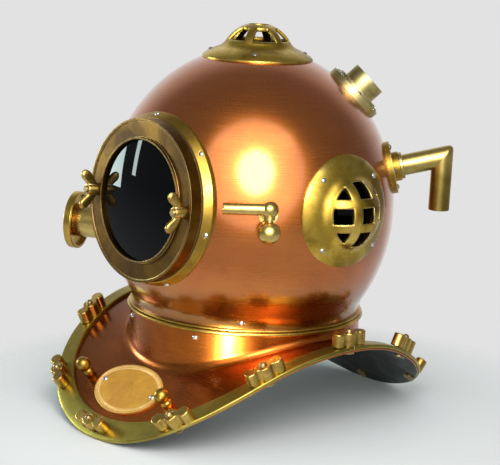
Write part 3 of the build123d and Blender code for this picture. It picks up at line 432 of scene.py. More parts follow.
def aged_metal(name, colours, rough, patch_scale, grain, edge_colour=None, edge_round=None, metallic=1.0,
               tints=()):
    """A metal with soft patches of tarnish, fine grain and, where asked, brighter or rounded edges."""
    material, tree, shader = new_material(name)
    place = place_vector(tree)
    patches = noise(tree, place, patch_scale, detail=4, roughness=0.55, distortion=0.8)
    fine = noise(tree, place, patch_scale * 11, detail=3, roughness=0.6)
    colour = ramp(tree, patches, list(zip((0.30, 0.50, 0.70), colours)))
    colour = multiply_colour(tree, colour, ramp(tree, fine, [(0.30, (0.86, 0.84, 0.80)), (0.52, WHITE)]))
    # Where tints are given, they darken the metal toward one side as painted shade.
    if tints:
        colour = tint_by_place(tree, place, colour, tints)
    if edge_colour:
        colour = worn_edges(tree, colour, edge_colour, 1.6 * MM)
    tree.links.new(colour, shader.inputs["Base Color"])
    shader.inputs["Metallic"].default_value = metallic
    smoothest, dullest = rough
    tree.links.new(spread(tree, patches, dullest, smoothest), shader.inputs["Roughness"])
    rounded = rounded_normal(tree, edge_round) if edge_round else None
    tree.links.new(bumped_normal(tree, fine, grain, 0.3 * MM, rounded), shader.inputs["Normal"])
    return material


def dark_glass():
    """Thick port glass, opaque and nearly black: painted shade for the dark inside of the helmet seen through
    it.
    """
    material, tree, shader = new_material("port_glass")
    smear = noise(tree, place_vector(tree), scale=30, detail=3, roughness=0.5)
    shader.inputs["Base Color"].default_value = (0.0006, 0.001, 0.0014, 1)
    shader.inputs["IOR"].default_value = 1.33
    shader.inputs["Specular IOR Level"].default_value = 0.35
    tree.links.new(spread(tree, smear, 0.01, 0.03), shader.inputs["Roughness"])
    return material


def dark_rubber():
    """Dull packing with a fine grain."""
    material, tree, shader = new_material("packing")
    grain = noise(tree, place_vector(tree), scale=300, detail=4, roughness=0.6)
    colour = ramp(tree, grain, [(0.35, (0.020, 0.015, 0.012)), (0.70, (0.060, 0.046, 0.036))])
    tree.links.new(colour, shader.inputs["Base Color"])
    tree.links.new(spread(tree, grain, 0.75, 0.9), shader.inputs["Roughness"])
    tree.links.new(bumped_normal(tree, grain, 0.3, 0.2 * MM), shader.inputs["Normal"])
    return material


# Each metal has its dark, middle and light colour; tints start and end at places in the row frame
# The bonnet's first tint darkens its lower part as painted shade, where it would mirror the dark breastplate;
# the second makes the crown a little darker and plum.
bonnet_copper = copper_metal(
    "bonnet_copper", [(0.46, 0.120, 0.015), (0.60, 0.168, 0.020), (0.70, 0.22, 0.028)],
    [("Z", 190 * MM, 140 * MM, (0.66, 0.88, 0.85)), ("Z", 340 * MM, 440 * MM, (0.92, 0.86, 0.90))], coat=1.0)
# The plate's first tint darkens it toward negative x as painted shade, away from the lamps; the second makes
# it a little darker and plum toward the bottom.
plate_copper = copper_metal(
    "plate_copper", [(0.32, 0.084, 0.014), (0.54, 0.145, 0.016), (0.70, 0.205, 0.022)],
    [("X", 20 * MM, -130 * MM, (0.46, 0.48, 0.80)), ("Z", 75 * MM, 10 * MM, (0.92, 0.86, 0.90))], coat=0.15)
brass = aged_metal(
    "brass", [(0.28, 0.160, 0.024), (0.52, 0.325, 0.052), (0.72, 0.50, 0.110)],
    rough=(0.22, 0.38), patch_scale=15, grain=0.14, edge_colour=(0.86, 0.66, 0.26), edge_round=1.0 * MM)
# The guard brass's tint darkens the guards toward the back as painted shade, away from the lamps in front.
guard_brass = aged_metal(
    "guard_brass", [(0.26, 0.155, 0.024), (0.58, 0.385, 0.056), (0.82, 0.60, 0.14)],
    rough=(0.22, 0.38), patch_scale=24, grain=0.14, edge_colour=(0.86, 0.68, 0.28), edge_round=3.0 * MM,
    tints=[("Y", -30 * MM, 50 * MM, (0.55, 0.53, 0.42))])
# A lighter copy of the brass that paints in the light falling on the exhaust and the spitcock.
polished_brass = aged_metal(
    "polished_brass", [(0.46, 0.32, 0.085), (0.72, 0.54, 0.17), (0.88, 0.72, 0.30)],
    rough=(0.20, 0.32), patch_scale=26, grain=0.12, edge_colour=(0.92, 0.78, 0.40), edge_round=1.0 * MM)
pale_brass = aged_metal(
    "pale_brass", [(0.26, 0.20, 0.075), (0.44, 0.36, 0.145), (0.60, 0.50, 0.23)],
    rough=(0.28, 0.42), patch_scale=22, grain=0.14, edge_colour=(0.80, 0.70, 0.40), edge_round=1.0 * MM)
# A near-black copy of the brass, painted shade, for the window seats and retainers inside the guards.
dark_brass = aged_metal(
    "dark_brass", [(0.020, 0.014, 0.006), (0.045, 0.032, 0.014), (0.09, 0.065, 0.028)],
    rough=(0.45, 0.62), patch_scale=30, grain=0.2)
aged_brass = aged_metal(
    "aged_brass", [(0.064, 0.028, 0.004), (0.118, 0.054, 0.006), (0.20, 0.100, 0.013)],
    rough=(0.32, 0.48), patch_scale=24, grain=0.22, edge_colour=(0.78, 0.56, 0.22), edge_round=0.7 * MM)
strap_brass = aged_metal(
    "strap_brass", [(0.20, 0.155, 0.030), (0.36, 0.280, 0.050), (0.52, 0.40, 0.085)],
    rough=(0.32, 0.46), patch_scale=13, grain=0.18, edge_colour=(0.70, 0.57, 0.22), edge_round=0.7 * MM)
bright_brass = aged_metal(
    "bright_brass", [(0.30, 0.190, 0.045), (0.52, 0.340, 0.080), (0.74, 0.54, 0.15)],
    rough=(0.22, 0.36), patch_scale=40, grain=0.15, edge_colour=(0.90, 0.70, 0.30), edge_round=1.2 * MM)
bronze = aged_metal(
    "bronze", [(0.22, 0.15, 0.06), (0.36, 0.26, 0.12), (0.50, 0.38, 0.18)],
    rough=(0.30, 0.50), patch_scale=50, grain=0.2)
# The elbow's tint darkens its lower part as painted shade, below its lit top.
elbow_copper = aged_metal(
    "elbow_copper", [(0.34, 0.24, 0.060), (0.58, 0.43, 0.125), (0.76, 0.60, 0.22)],
    rough=(0.24, 0.36), patch_scale=18, grain=0.14, edge_colour=(0.88, 0.72, 0.36), edge_round=1.0 * MM,
    tints=[("Z", 312 * MM, 290 * MM, (0.55, 0.55, 0.48))])
plate_gold = aged_metal(
    "plate_gold", [(0.44, 0.20, 0.020), (0.56, 0.27, 0.028), (0.66, 0.35, 0.045)],
    rough=(0.38, 0.52), patch_scale=30, grain=0.14, edge_colour=(0.95, 0.70, 0.30), edge_round=0.5 * MM,
    metallic=0.35)
screw_steel = aged_metal(
    "screw_steel", [(0.45, 0.43, 0.39), (0.72, 0.71, 0.68), (0.85, 0.84, 0.81)],
    rough=(0.18, 0.30), patch_scale=60, grain=0.08, edge_round=0.3 * MM)
spring_steel = aged_metal(
    "spring_steel", [(0.30, 0.30, 0.30), (0.50, 0.50, 0.50), (0.62, 0.62, 0.62)],
    rough=(0.28, 0.40), patch_scale=60, grain=0.1)
# A near-black metal for the bonnet's inside and the breastplate's underside, which paints the shade there.
painted_shade_tin = aged_metal(
    "tinned_underside", [(0.030, 0.034, 0.030), (0.060, 0.066, 0.058), (0.12, 0.125, 0.11)],
    rough=(0.38, 0.55), patch_scale=18, grain=0.2)
glass = dark_glass()
rubber = dark_rubber()

finish_of_slot = {
    "copper": bonnet_copper, "brass": brass, "bright_brass": bright_brass, "bronze": bronze,
    "elbow_copper": elbow_copper, "screws": screw_steel, "glass": glass, "packing": rubber,
    "spring_steel": spring_steel}
# The exhaust and spitcock parts take a lighter brass, painted light; the window seats and retainers take a
# near-black brass, painted shade.
finish_of_node = {
    "door_ring": aged_brass, "top_guard": guard_brass, "left_guard": guard_brass, "right_guard": guard_brass,
    "exhaust_body": polished_brass, "spitcock_body": polished_brass, "spitcock_knob": polished_brass,
    "comms_fitting": pale_brass, "comms_plug": pale_brass,
    "window_seats": dark_brass, "window_retainers": dark_brass}
for row in frame["record"]["subparts"]:
    materials = nodes[row["node"]].data.materials
    materials.clear()
    materials.append(finish_of_node.get(row["node"], finish_of_slot[row["material_slot"]]))

# Meshes, as points and faces


def between(start, end, count):
    """Evenly spaced values from start to end, both kept."""
    return [start + (end - start) * i / count for i in range(count + 1)]


def ring(place, across, upward, radius, count):
    """Evenly spaced points round a circle that lies along two directions."""
    turns = between(0, 2 * pi, count)[1:]
    return [place + (across * cos(turn) + upward * sin(turn)) * radius for turn in turns]


def skin(rings, loop=False):
    """A surface through rings that have equally many points; a loop joins the last to the first."""
    count = len(rings[0])
    points = [point for ring_points in rings for point in ring_points]
    faces = []
    for row in range(len(rings) if loop else len(rings) - 1):
        near = row * count
        far = (row + 1) % len(rings) * count
        for i in range(count):
            after = (i + 1) % count
            faces.append((near + i, near + after, far + after, far + i))
    return points, faces


def closed_skin(rings, first_tip=None, last_tip=None):
    """A solid through rings; each end runs to a tip, or is flat where there is none."""
    points, faces = skin(rings)
    count = len(rings[0])
    last = len(points) - count
    if first_tip is None:
        faces.append(tuple(reversed(range(count))))
    else:
        faces += [((i + 1) % count, i, len(points)) for i in range(count)]
        points.append(first_tip)
    if last_tip is None:
        faces.append(tuple(range(last, last + count)))
    else:
        faces += [(last + i, last + (i + 1) % count, len(points)) for i in range(count)]
        points.append(last_tip)
    return points, faces


def turned(place, axis, across, profile, count):
    """A solid turned about an axis from radius and level pairs, which start and end on it."""
    upward = axis.cross(across)
    rings = [ring(place + axis * level, across, upward, radius, count) for radius, level in profile[1:-1]]
    return closed_skin(rings, place + axis * profile[0][1], place + axis * profile[-1][1])


def merged(shapes):
    """Several sets of points and faces as one."""
    points = []
    faces = []
    for more_points, more_faces in shapes:
        start = len(points)
        points += more_points
        faces += [tuple(index + start for index in face) for face in more_faces]
    return points, faces


def new_mesh(shape, sharp_angle=None):
    """A smooth mesh, with its edges sharp where they bend by more than an angle."""
    mesh = bpy.data.meshes.new("mesh")
    mesh.from_pydata(shape[0], [], shape[1])
    mesh.shade_smooth()
    if sharp_angle:
        mesh.set_sharp_from_angle(angle=sharp_angle)
    return mesh


def cut_mesh(solid, cutters):
    """The solid less all the cutters, as a smooth mesh."""
    cut = bpy.data.objects.new("cut", new_mesh(solid))
    tool = bpy.data.objects.new("tool", new_mesh(merged(cutters)))
    for shape in (cut, tool):
        bpy.context.scene.collection.objects.link(shape)
    holes = cut.modifiers.new("holes", "BOOLEAN")
    holes.operation = "DIFFERENCE"
    holes.solver = "EXACT"
    holes.object = tool
    graph = bpy.context.evaluated_depsgraph_get()
    mesh = bpy.data.meshes.new_from_object(cut.evaluated_get(graph))
    mesh.shade_smooth()
    for shape in (cut, tool):
        bpy.data.objects.remove(shape)
    return mesh


def add_piece(name, mesh, materials, body, node):
    """A mesh piece that rides on a body and takes the place of a CAD node."""
    mesh.name = name
    for material in materials:
        mesh.materials.append(material)
    piece = bpy.data.objects.new(name, mesh)
    bpy.context.scene.collection.objects.link(piece)
    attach(piece, body)
    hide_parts(node)


def bezier_point(first, knee, last, share):
    return first * (1 - share) ** 2 + knee * 2 * share * (1 - share) + last * share ** 2


def bezier(corners, steps):
    """Points along the curve that three corners guide."""
    first, knee, last = [Vector(corner) for corner in corners]
    return [bezier_point(first, knee, last, share) for share in between(0, 1, steps)]


def arc(radius, start, end, steps):
    return [(radius * cos(turn), radius * sin(turn)) for turn in between(start, end, steps)]


# Bonnet


def bonnet_profile(inset):
    """The bonnet wall's radius and height from crown to foot, drawn in by inset, and its blend's height."""
    radius = BONNET_RADIUS - inset
    rise = BONNET_RISE - inset
    band = NECK_BAND_RADIUS - inset
    blend = NECK_BLEND_RADIUS + inset
    low = radians(-85)
    high = radians(-5)
    for _ in range(HALVINGS):
        angle = (low + high) / 2
        out = cos(angle) / radius
        down = sin(angle) / rise
        size = hypot(out, down)
        if radius * cos(angle) + blend * out / size > band + blend:
            high = angle
        else:
            low = angle
    blend_height = BONNET_HEIGHT + rise * sin(angle) + blend * down / size
    points = []
    for turn in between(radians(90), angle, DOME_STEPS):
        points.append((radius * cos(turn), BONNET_HEIGHT + rise * sin(turn)))
    for turn in between(atan2(-down, -out), pi, FILLET_STEPS)[1:]:
        points.append((band + blend + blend * cos(turn), blend_height + blend * sin(turn)))
    points.append((band, BAND_FOOT))
    return points, blend_height


def outward_at(point, inset, blend_height):
    """The bonnet wall's outward direction at a point, worked out from its form."""
    radial = hypot(point.x, point.y)
    if radial < 0.001 * MM:
        return UP
    blend = NECK_BLEND_RADIUS + inset
    centre = NECK_BAND_RADIUS - inset + blend
    slack = 0.2 * MM
    if point.z < blend_height:
        out, up = 1.0, 0.0
    elif hypot(radial - centre, point.z - blend_height) < blend + slack and point.z < BONNET_HEIGHT:
        out = (centre - radial) / blend
        up = (blend_height - point.z) / blend
    else:
        out = radial / (BONNET_RADIUS - inset) ** 2
        up = (point.z - BONNET_HEIGHT) / (BONNET_RISE - inset) ** 2
    return Vector((out * point.x / radial, out * point.y / radial, up)).normalized()


def on_bonnet(bearing, tilt):
    """A point on the bonnet's outside and its outward direction."""
    level = Vector((sin(bearing), -cos(bearing), 0))
    out = BONNET_RADIUS * cos(tilt)
    up = BONNET_RISE * sin(tilt)
    size = hypot(out, up)
    point = BONNET_MIDDLE + level * (BONNET_RADIUS * out / size) + UP * (BONNET_RISE * up / size)
    return point, level * cos(tilt) + UP * sin(tilt)


def window_axis(side):
    """The outward direction of the left window, side 1, or the right one, side -1."""
    return LEFT * side * cos(WINDOW_TILT) + UP * sin(WINDOW_TILT)


def hole(place, axis, radius, low=HOLE_START, high=HOLE_END):
    """A cylinder along an axis, for cutting a round hole."""
    profile = [(0, low), (radius, low), (radius, high), (0, high)]
    return turned(place, axis, axis.orthogonal().normalized(), profile, HOLE_STEPS)


def bonnet_holes():
    """The holes for the door, the three guarded windows and the fittings."""
    exhaust_axis = Vector((sin(EXHAUST_BEARING), -cos(EXHAUST_BEARING), 0))
    spitcock, spitcock_axis = on_bonnet(SPITCOCK_BEARING, SPITCOCK_TILT)
    across = Vector((cos(SPITCOCK_BEARING), sin(SPITCOCK_BEARING), 0))
    boss = spitcock + spitcock_axis.cross(across) * SPITCOCK_BOSS_RISE
    holes = [hole(WINDOW_MIDDLE, DOOR_AXIS, DOOR_HOLE_RADIUS),
             hole(WINDOW_MIDDLE, window_axis(1), GUARD_HOLE_RADIUS),
             hole(WINDOW_MIDDLE, window_axis(-1), GUARD_HOLE_RADIUS),
             hole(BONNET_MIDDLE, UP, GUARD_HOLE_RADIUS),
             hole(BONNET_MIDDLE - UP * EXHAUST_DROP, exhaust_axis, EXHAUST_HOLE_RADIUS)]
    for place, axis, radius in ((*on_bonnet(INLET_BEARING, INLET_TILT), ELBOW_RADIUS),
                                (*on_bonnet(COMMS_BEARING, COMMS_TILT), COMMS_HOLE_RADIUS),
                                (boss, spitcock_axis, SPITCOCK_HOLE_RADIUS)):
        holes.append(hole(place, axis, radius, -FITTING_HOLE_REACH, FITTING_HOLE_REACH))
    return holes


def make_bonnet():
    """The spun bonnet with its openings, shaded by its true form, its inside near-black as painted shade."""
    outside, outer_blend = bonnet_profile(0)
    inside, inner_blend = bonnet_profile(BONNET_WALL)
    solid = turned(Vector((0, 0, 0)), UP, LEFT, inside + outside[::-1], BONNET_STEPS)
    mesh = cut_mesh(solid, bonnet_holes())
    normals = []
    for face in mesh.polygons:
        for index in face.vertices:
            point = mesh.vertices[index].co
            outer = outward_at(point, 0, outer_blend)
            agreement = outer.dot(face.normal)
            if agreement > 0.9:
                normals.append(outer)
            elif agreement < -0.9:
                normals.append(-outward_at(point, BONNET_WALL, inner_blend))
            else:
                normals.append(face.normal.copy())
        # Inward faces take the near-black inside metal, painted shade.
        if outward_at(face.center, 0, outer_blend).dot(face.normal) < -0.5:
            face.material_index = 1
    mesh.normals_split_custom_set(normals)
    add_piece("bonnet_copper_shell", mesh, [bonnet_copper, painted_shade_tin], "bonnet", "bonnet_shell")


make_bonnet()

# Window guards


def clip(outline, normal_x, normal_y, limit):
    """The part of a convex outline where the point's product with the normal is at most the limit."""
    kept = []
    for i, (x, y) in enumerate(outline):
        x_before, y_before = outline[i - 1]
        reach = x * normal_x + y * normal_y - limit
        reach_before = x_before * normal_x + y_before * normal_y - limit
        if (reach <= 0) != (reach_before <= 0):
            share = reach_before / (reach_before - reach)
            kept.append((x_before + (x - x_before) * share, y_before + (y - y_before) * share))
        if reach <= 0:
            kept.append((x, y))
    return kept


def grid_openings():
    """The square grid's openings, in the guard's own plane."""
    disc = arc(GUARD_OPENING, 0, 2 * pi, 96)[:-1]
    inner = (GUARD_BAR_PITCH - GUARD_BAR_WIDTH) / 2
    outer = (GUARD_BAR_PITCH + GUARD_BAR_WIDTH) / 2
    spans = [(-GUARD_OPENING, -outer), (-inner, inner), (outer, GUARD_OPENING)]
    openings = []
    for left, right in spans:
        column = clip(clip(disc, 1, 0, right), -1, 0, -left)
        openings += [clip(clip(column, 0, 1, high), 0, -1, -low) for low, high in spans]
    return openings


def spoke_openings():
    """The six openings between the top guard's spokes, and its eye."""
    openings = [arc(GUARD_EYE, 0, 2 * pi, 48)[:-1]]
    outer = asin(GUARD_SPOKE_WIDTH / 2 / GUARD_OPENING)
    inner = asin(GUARD_SPOKE_WIDTH / 2 / GUARD_EYE_RING)
    for i in range(6):
        start = radians(60 * i)
        end = start + radians(60)
        openings.append(arc(GUARD_OPENING, start + outer, end - outer, 16)
                        + arc(GUARD_EYE_RING, end - inner, start + inner, 12))
    return openings


def dome_points(radius, centre, start, end, steps):
    """Radius and level pairs along a dome's arc, at angles from its top."""
    return [(radius * sin(turn), centre + radius * cos(turn)) for turn in between(start, end, steps)]


def guard_profile():
    """The guard's section from its hollow's top round the rim to the dome's top."""
    centre = GUARD_DOME_RISE - GUARD_DOME_RADIUS
    hollow = GUARD_DOME_RADIUS - GUARD_WALL
    foot = asin(GUARD_HOLLOW_FOOT / hollow)
    dome_start = asin(GUARD_SHOULDER[-1][0] * MM / GUARD_DOME_RADIUS)
    flange = GUARD_UNDERSIDE + GUARD_RIM + bezier(GUARD_FLANGE, 14) + bezier(GUARD_SHOULDER, 10)[1:]
    return (dome_points(hollow, centre, 0, foot, GUARD_DOME_STEPS - 1)
            + [(radius * MM, level * MM) for radius, level in flange]
            + dome_points(GUARD_DOME_RADIUS, centre, dome_start, 0, GUARD_DOME_STEPS)[1:])


def make_guard(node, place, axis, across, openings):
    """A cast guard: a crowned flange that runs smoothly into a barred dome."""
    upward = axis.cross(across)
    cutters = []
    for opening in openings:
        cutters.append(closed_skin([[place + axis * level + across * u + upward * v for u, v in opening]
                                    for level in GUARD_CUT_LEVELS]))
    mesh = cut_mesh(turned(place, axis, across, guard_profile(), GUARD_STEPS), cutters)
    mesh.set_sharp_from_angle(angle=radians(35))
    add_piece(node + "_casting", mesh, [guard_brass], "bonnet", node)


for side, node in ((1, "left_guard"), (-1, "right_guard")):
    side_axis = window_axis(side)
    place = WINDOW_MIDDLE + side_axis * BONNET_RADIUS
    make_guard(node, place, side_axis, Vector((0, side, 0)), grid_openings())
make_guard("top_guard", BONNET_MIDDLE + UP * BONNET_RISE, UP, LEFT, spoke_openings())

# Door glass and wing nuts


def make_door_glass():
    """The door's thick pane, its front slightly domed."""
    curve = (GLASS_EDGE ** 2 + GLASS_CROWN ** 2) / (2 * GLASS_CROWN)
    centre = GLASS_FRONT + GLASS_LIFT + GLASS_CROWN - curve
    profile = [(0, GLASS_BACK), (GLASS_RADIUS, GLASS_BACK),
               (GLASS_RADIUS, GLASS_FRONT), (GLASS_EDGE, GLASS_FRONT)]
    for radius in between(GLASS_EDGE, 0, GLASS_RINGS):
        profile.append((radius, centre + (curve ** 2 - radius ** 2) ** 0.5))
    mesh = new_mesh(turned(WINDOW_MIDDLE, DOOR_AXIS, LEFT, profile, GLASS_STEPS), radians(15))
    add_piece("door_glass_pane", mesh, [glass], "door", "door_glass")


def nut_hub(place, upward):
    """The wing nut's round hub, slightly tapered, with its bore."""
    profile = [(DOOR_NUT_BORE, DOOR_NUT_START),
               (DOOR_NUT_RADIUS + 0.2 * MM, DOOR_NUT_START),
               (DOOR_NUT_RADIUS, DOOR_NUT_START + 1.0 * MM),
               (DOOR_NUT_RADIUS - 0.4 * MM, DOOR_NUT_END - 1.6 * MM),
               (DOOR_NUT_RADIUS - 1.3 * MM, DOOR_NUT_END),
               (DOOR_NUT_BORE, DOOR_NUT_END + 0.2 * MM)]
    rings = [ring(place + DOOR_AXIS * level, LEFT, upward, radius, NUT_STEPS) for radius, level in profile]
    return skin(rings, loop=True)


def nut_ear(place, upward, turn_sign):
    """A leaf-shaped ear that leans out and forward, with full, rounded sections across its spine."""
    rings = []
    for i, (out, along, half_width, half_depth) in enumerate(EAR_STATIONS):
        before = EAR_STATIONS[max(i - 1, 0)]
        following = EAR_STATIONS[min(i + 1, len(EAR_STATIONS) - 1)]
        run = Vector((following[0] - before[0], following[1] - before[1])).normalized()
        section = []
        for turn in between(0, turn_sign * 2 * pi, EAR_STEPS)[1:]:
            wide = copysign(abs(cos(turn)) ** EAR_WIDTH_POWER, cos(turn)) * half_width
            deep = copysign(abs(sin(turn)) ** EAR_DEPTH_POWER, sin(turn)) * half_depth
            section.append(place + (upward * (out - run.y * wide) + DOOR_AXIS * (along + run.x * wide)
                                    + LEFT * deep) * MM)
        rings.append(section)
    return closed_skin(rings)


def make_wing_nut(hand, side):
    """A cast wing nut on the door: a hub and two ears."""
    place = WINDOW_MIDDLE + LEFT * side * DOOR_STUD_REACH + DOOR_AXIS * DOOR_FACE
    upward = DOOR_AXIS.cross(LEFT)
    shape = merged([nut_hub(place, upward), nut_ear(place, -upward, -1), nut_ear(place, upward, 1)])
    node = "door_nut_" + hand
    add_piece("wing_nut_" + hand, new_mesh(shape, radians(50)), [bright_brass], node, node)


make_door_glass()
make_wing_nut("right", -1)
make_wing_nut("left", 1)

# Air inlet


def make_elbow():
    """The air inlet's mitred elbow, its outer corner rounded, with the ring behind it and the hose socket."""
    place, axis = on_bonnet(INLET_BEARING, INLET_TILT)
    corner = place + axis * ELBOW_REACH
    drop = -UP
    side = axis.cross(drop).normalized()
    above = -(drop - axis * drop.dot(axis)).normalized()
    outer = (axis - drop * axis.dot(drop)).normalized()
    lean = tan(acos(axis.dot(drop)) / 2)

    def arm_ring(radius, along):
        return ring(place + axis * along, above, side, radius, ELBOW_STEPS)

    def leg_ring(radius, below):
        return ring(corner + drop * below, outer, side, radius, ELBOW_STEPS)

    def mitre_ring(radius, share, outer_round):
        points = []
        for turn in between(0, 2 * pi, ELBOW_STEPS)[1:]:
            knee = corner + (above * cos(turn) + side * sin(turn) + axis * lean * cos(turn)) * radius
            reach = (ELBOW_LEAST_ROUND + outer_round * max(0, cos(turn))) * lean
            points.append(bezier_point(knee - axis * reach, knee, knee + drop * reach, share))
        return points

    arm = [(ELBOW_RADIUS, ELBOW_ROOT),
           (ELBOW_RADIUS, ELBOW_RING_START),
           (ELBOW_RING_RADIUS - ELBOW_EDGE, ELBOW_RING_START),
           (ELBOW_RING_RADIUS, ELBOW_RING_START + ELBOW_EDGE),
           (ELBOW_RING_RADIUS, ELBOW_RING_END - ELBOW_EDGE),
           (ELBOW_RING_RADIUS - ELBOW_EDGE, ELBOW_RING_END),
           (ELBOW_RADIUS, ELBOW_RING_END)]
    leg = [(ELBOW_RADIUS, ELBOW_DROP - ELBOW_EDGE),
           (ELBOW_RADIUS - ELBOW_LIP, ELBOW_DROP),
           (ELBOW_SOCKET_RADIUS + ELBOW_SOCKET_LIP, ELBOW_DROP),
           (ELBOW_SOCKET_RADIUS, ELBOW_DROP - ELBOW_LIP),
           (ELBOW_SOCKET_RADIUS, ELBOW_SOCKET_TOP),
           (ELBOW_BORE, ELBOW_SOCKET_TOP)]
    rings = [arm_ring(radius, along) for radius, along in arm]
    rings += [mitre_ring(ELBOW_RADIUS, share, ELBOW_OUTER_ROUND) for share in between(0, 1, 8)]
    rings += [leg_ring(radius, below) for radius, below in leg]
    rings += [mitre_ring(ELBOW_BORE, share, 0) for share in between(1, 0, 4)]
    rings.append(arm_ring(ELBOW_BORE, ELBOW_ROOT))
    mesh = new_mesh(skin(rings, loop=True), radians(35))
    add_piece("inlet_elbow_pipe", mesh, [elbow_copper], "bonnet", "inlet_elbow")


make_elbow()

# Breastplate


def arch_point(x, y, lift):
    """The point of the bent sheet over x and y, moved out square to the sheet by lift."""
    run = abs(y)
    bend = (SHOULDER_BEND_RADIUS - LOBE_BEND_RADIUS) * sin(SHOULDER_BEND_ANGLE)
    drop = (SHOULDER_BEND_RADIUS - LOBE_BEND_RADIUS) * cos(SHOULDER_BEND_ANGLE)
    if run <= SHOULDER_BEND_RADIUS * sin(SHOULDER_BEND_ANGLE):
        slope = asin(run / SHOULDER_BEND_RADIUS)
        height = ARCH_HEIGHT - SHOULDER_BEND_RADIUS * (1 - cos(slope))
    else:
        slope = asin((run - bend) / LOBE_BEND_RADIUS)
        height = ARCH_HEIGHT - SHOULDER_BEND_RADIUS + drop + LOBE_BEND_RADIUS * cos(slope)
    side = 1 if y > 0 else -1
    return Vector((x, y + side * sin(slope) * lift, height + cos(slope) * lift))


def outline_arcs():
    """Centres of the plan's front, side and corner arcs, and the corner's first and last outward angles."""
    front = Vector((0, FRONT_ARC_RADIUS - PLATE_HALF_LENGTH))
    side = Vector((PLATE_HALF_WIDTH - SIDE_ARC_RADIUS, 0))
    reach_front = FRONT_ARC_RADIUS - CORNER_RADIUS
    reach_side = SIDE_ARC_RADIUS - CORNER_RADIUS
    between = side - front
    distance = between.length
    direction = between / distance
    along = (distance ** 2 + reach_front ** 2 - reach_side ** 2) / (2 * distance)
    aside = (reach_front ** 2 - along ** 2) ** 0.5
    meetings = [front + direction * along + square_to(direction) * reach for reach in (aside, -aside)]
    corner = max(meetings, key=lambda meeting: meeting.x)
    to_front = corner - front
    to_side = corner - side
    return front, side, corner, atan2(to_front.y, to_front.x), atan2(to_side.y, to_side.x)


def square_to(direction):
    """A plane direction turned left by a quarter."""
    return Vector((-direction.y, direction.x))


front_centre, side_centre, corner_centre, corner_start, corner_end = outline_arcs()


def outline_point(angle, inset):
    """The plan outline's point whose outward direction has this angle, drawn in by inset."""
    across = abs(cos(angle))
    along = -abs(sin(angle))
    folded = atan2(along, across)
    if folded < corner_start:
        centre, radius = front_centre, FRONT_ARC_RADIUS
    elif folded < corner_end:
        centre, radius = corner_centre, CORNER_RADIUS
    else:
        centre, radius = side_centre, SIDE_ARC_RADIUS
    x = centre.x + (radius - inset) * across
    y = centre.y + (radius - inset) * along
    return (x if cos(angle) >= 0 else -x), (y if sin(angle) <= 0 else -y)


def sheet_profile(direction, rim_reach):
    """Outer points of the breastplate from the collar's top to the rim along one direction in plan."""
    def height_at(reach):
        return arch_point(direction.x * reach, direction.y * reach, 0).z

    def up_at(reach):
        step = 0.5 * MM
        slope = (height_at(reach + step) - height_at(reach - step)) / (2 * step)
        return Vector((-slope, 1)).normalized()

    fillet = COLLAR_FILLET_SIDE + (COLLAR_FILLET_FRONT - COLLAR_FILLET_SIDE) * direction.y ** 2
    low = COLLAR_RADIUS
    high = COLLAR_RADIUS + 3 * fillet
    for _ in range(HALVINGS):
        reach = (low + high) / 2
        if reach + up_at(reach).x * fillet < COLLAR_RADIUS + fillet:
            low = reach
        else:
            high = reach
    up = up_at(reach)
    centre = Vector((COLLAR_RADIUS + fillet, height_at(reach) + up.y * fillet))
    top = COLLAR_TOP - COLLAR_EDGE
    points = [Vector((COLLAR_RADIUS, height)) for height in between(top, centre.y, COLLAR_RINGS)[:-1]]
    for turn in between(-pi, atan2(-up.y, -up.x), FILLET_STEPS):
        points.append(centre + Vector((cos(turn), sin(turn))) * fillet)
    for along in between(reach, rim_reach, SHEET_RINGS)[1:]:
        points.append(Vector((along, height_at(along))))
    return points


def plate_section(direction, rim_reach):
    """The sheet's outer face, rolled rim, inner face and collar lip along one direction in plan."""
    outer = sheet_profile(direction, rim_reach - PLATE_ROLL)
    inner = []
    for i, point in enumerate(outer):
        run = (outer[min(i + 1, len(outer) - 1)] - outer[max(i - 1, 0)]).normalized()
        inner.append(point - square_to(run) * PLATE_WALL)
    run = (outer[-1] - outer[-2]).normalized()
    middle = (outer[-1] + inner[-1]) / 2
    rolled = []
    for turn in (60, 30, 0, -30, -60):
        way = run * cos(radians(turn)) + square_to(run) * sin(radians(turn))
        rolled.append(middle + way * PLATE_WALL / 2)
    lip = [Vector((COLLAR_RADIUS - inset, COLLAR_TOP)) for inset in (PLATE_WALL, COLLAR_EDGE)]
    return outer, rolled, inner[::-1], lip


def make_breastplate():
    """The beaten breastplate: collar, flowing fillet and lobes, with a rolled rim and a near-black underside
    of painted shade.
    """
    rings = []
    for step in range(PLATE_STEPS):
        x, y = outline_point(2 * pi * step / PLATE_STEPS, PLATE_INSET)
        rim_reach = hypot(x, y)
        direction = Vector((x, y)) / rim_reach
        outer, rolled, inner, lip = plate_section(direction, rim_reach)
        rings.append([(*(direction * reach), height) for reach, height in outer + rolled + inner + lip])
    mesh = new_mesh(skin(rings, loop=True), radians(40))
    size = len(rings[0])
    # The underside faces take the near-black metal, painted shade.
    underside = range(len(outer) + len(rolled) // 2 + 1, size - len(lip))
    for number, face in enumerate(mesh.polygons):
        if number % size in underside:
            face.material_index = 1
    add_piece("breastplate_copper", mesh, [plate_copper, painted_shade_tin], "breastplate",
              "breastplate_shell")


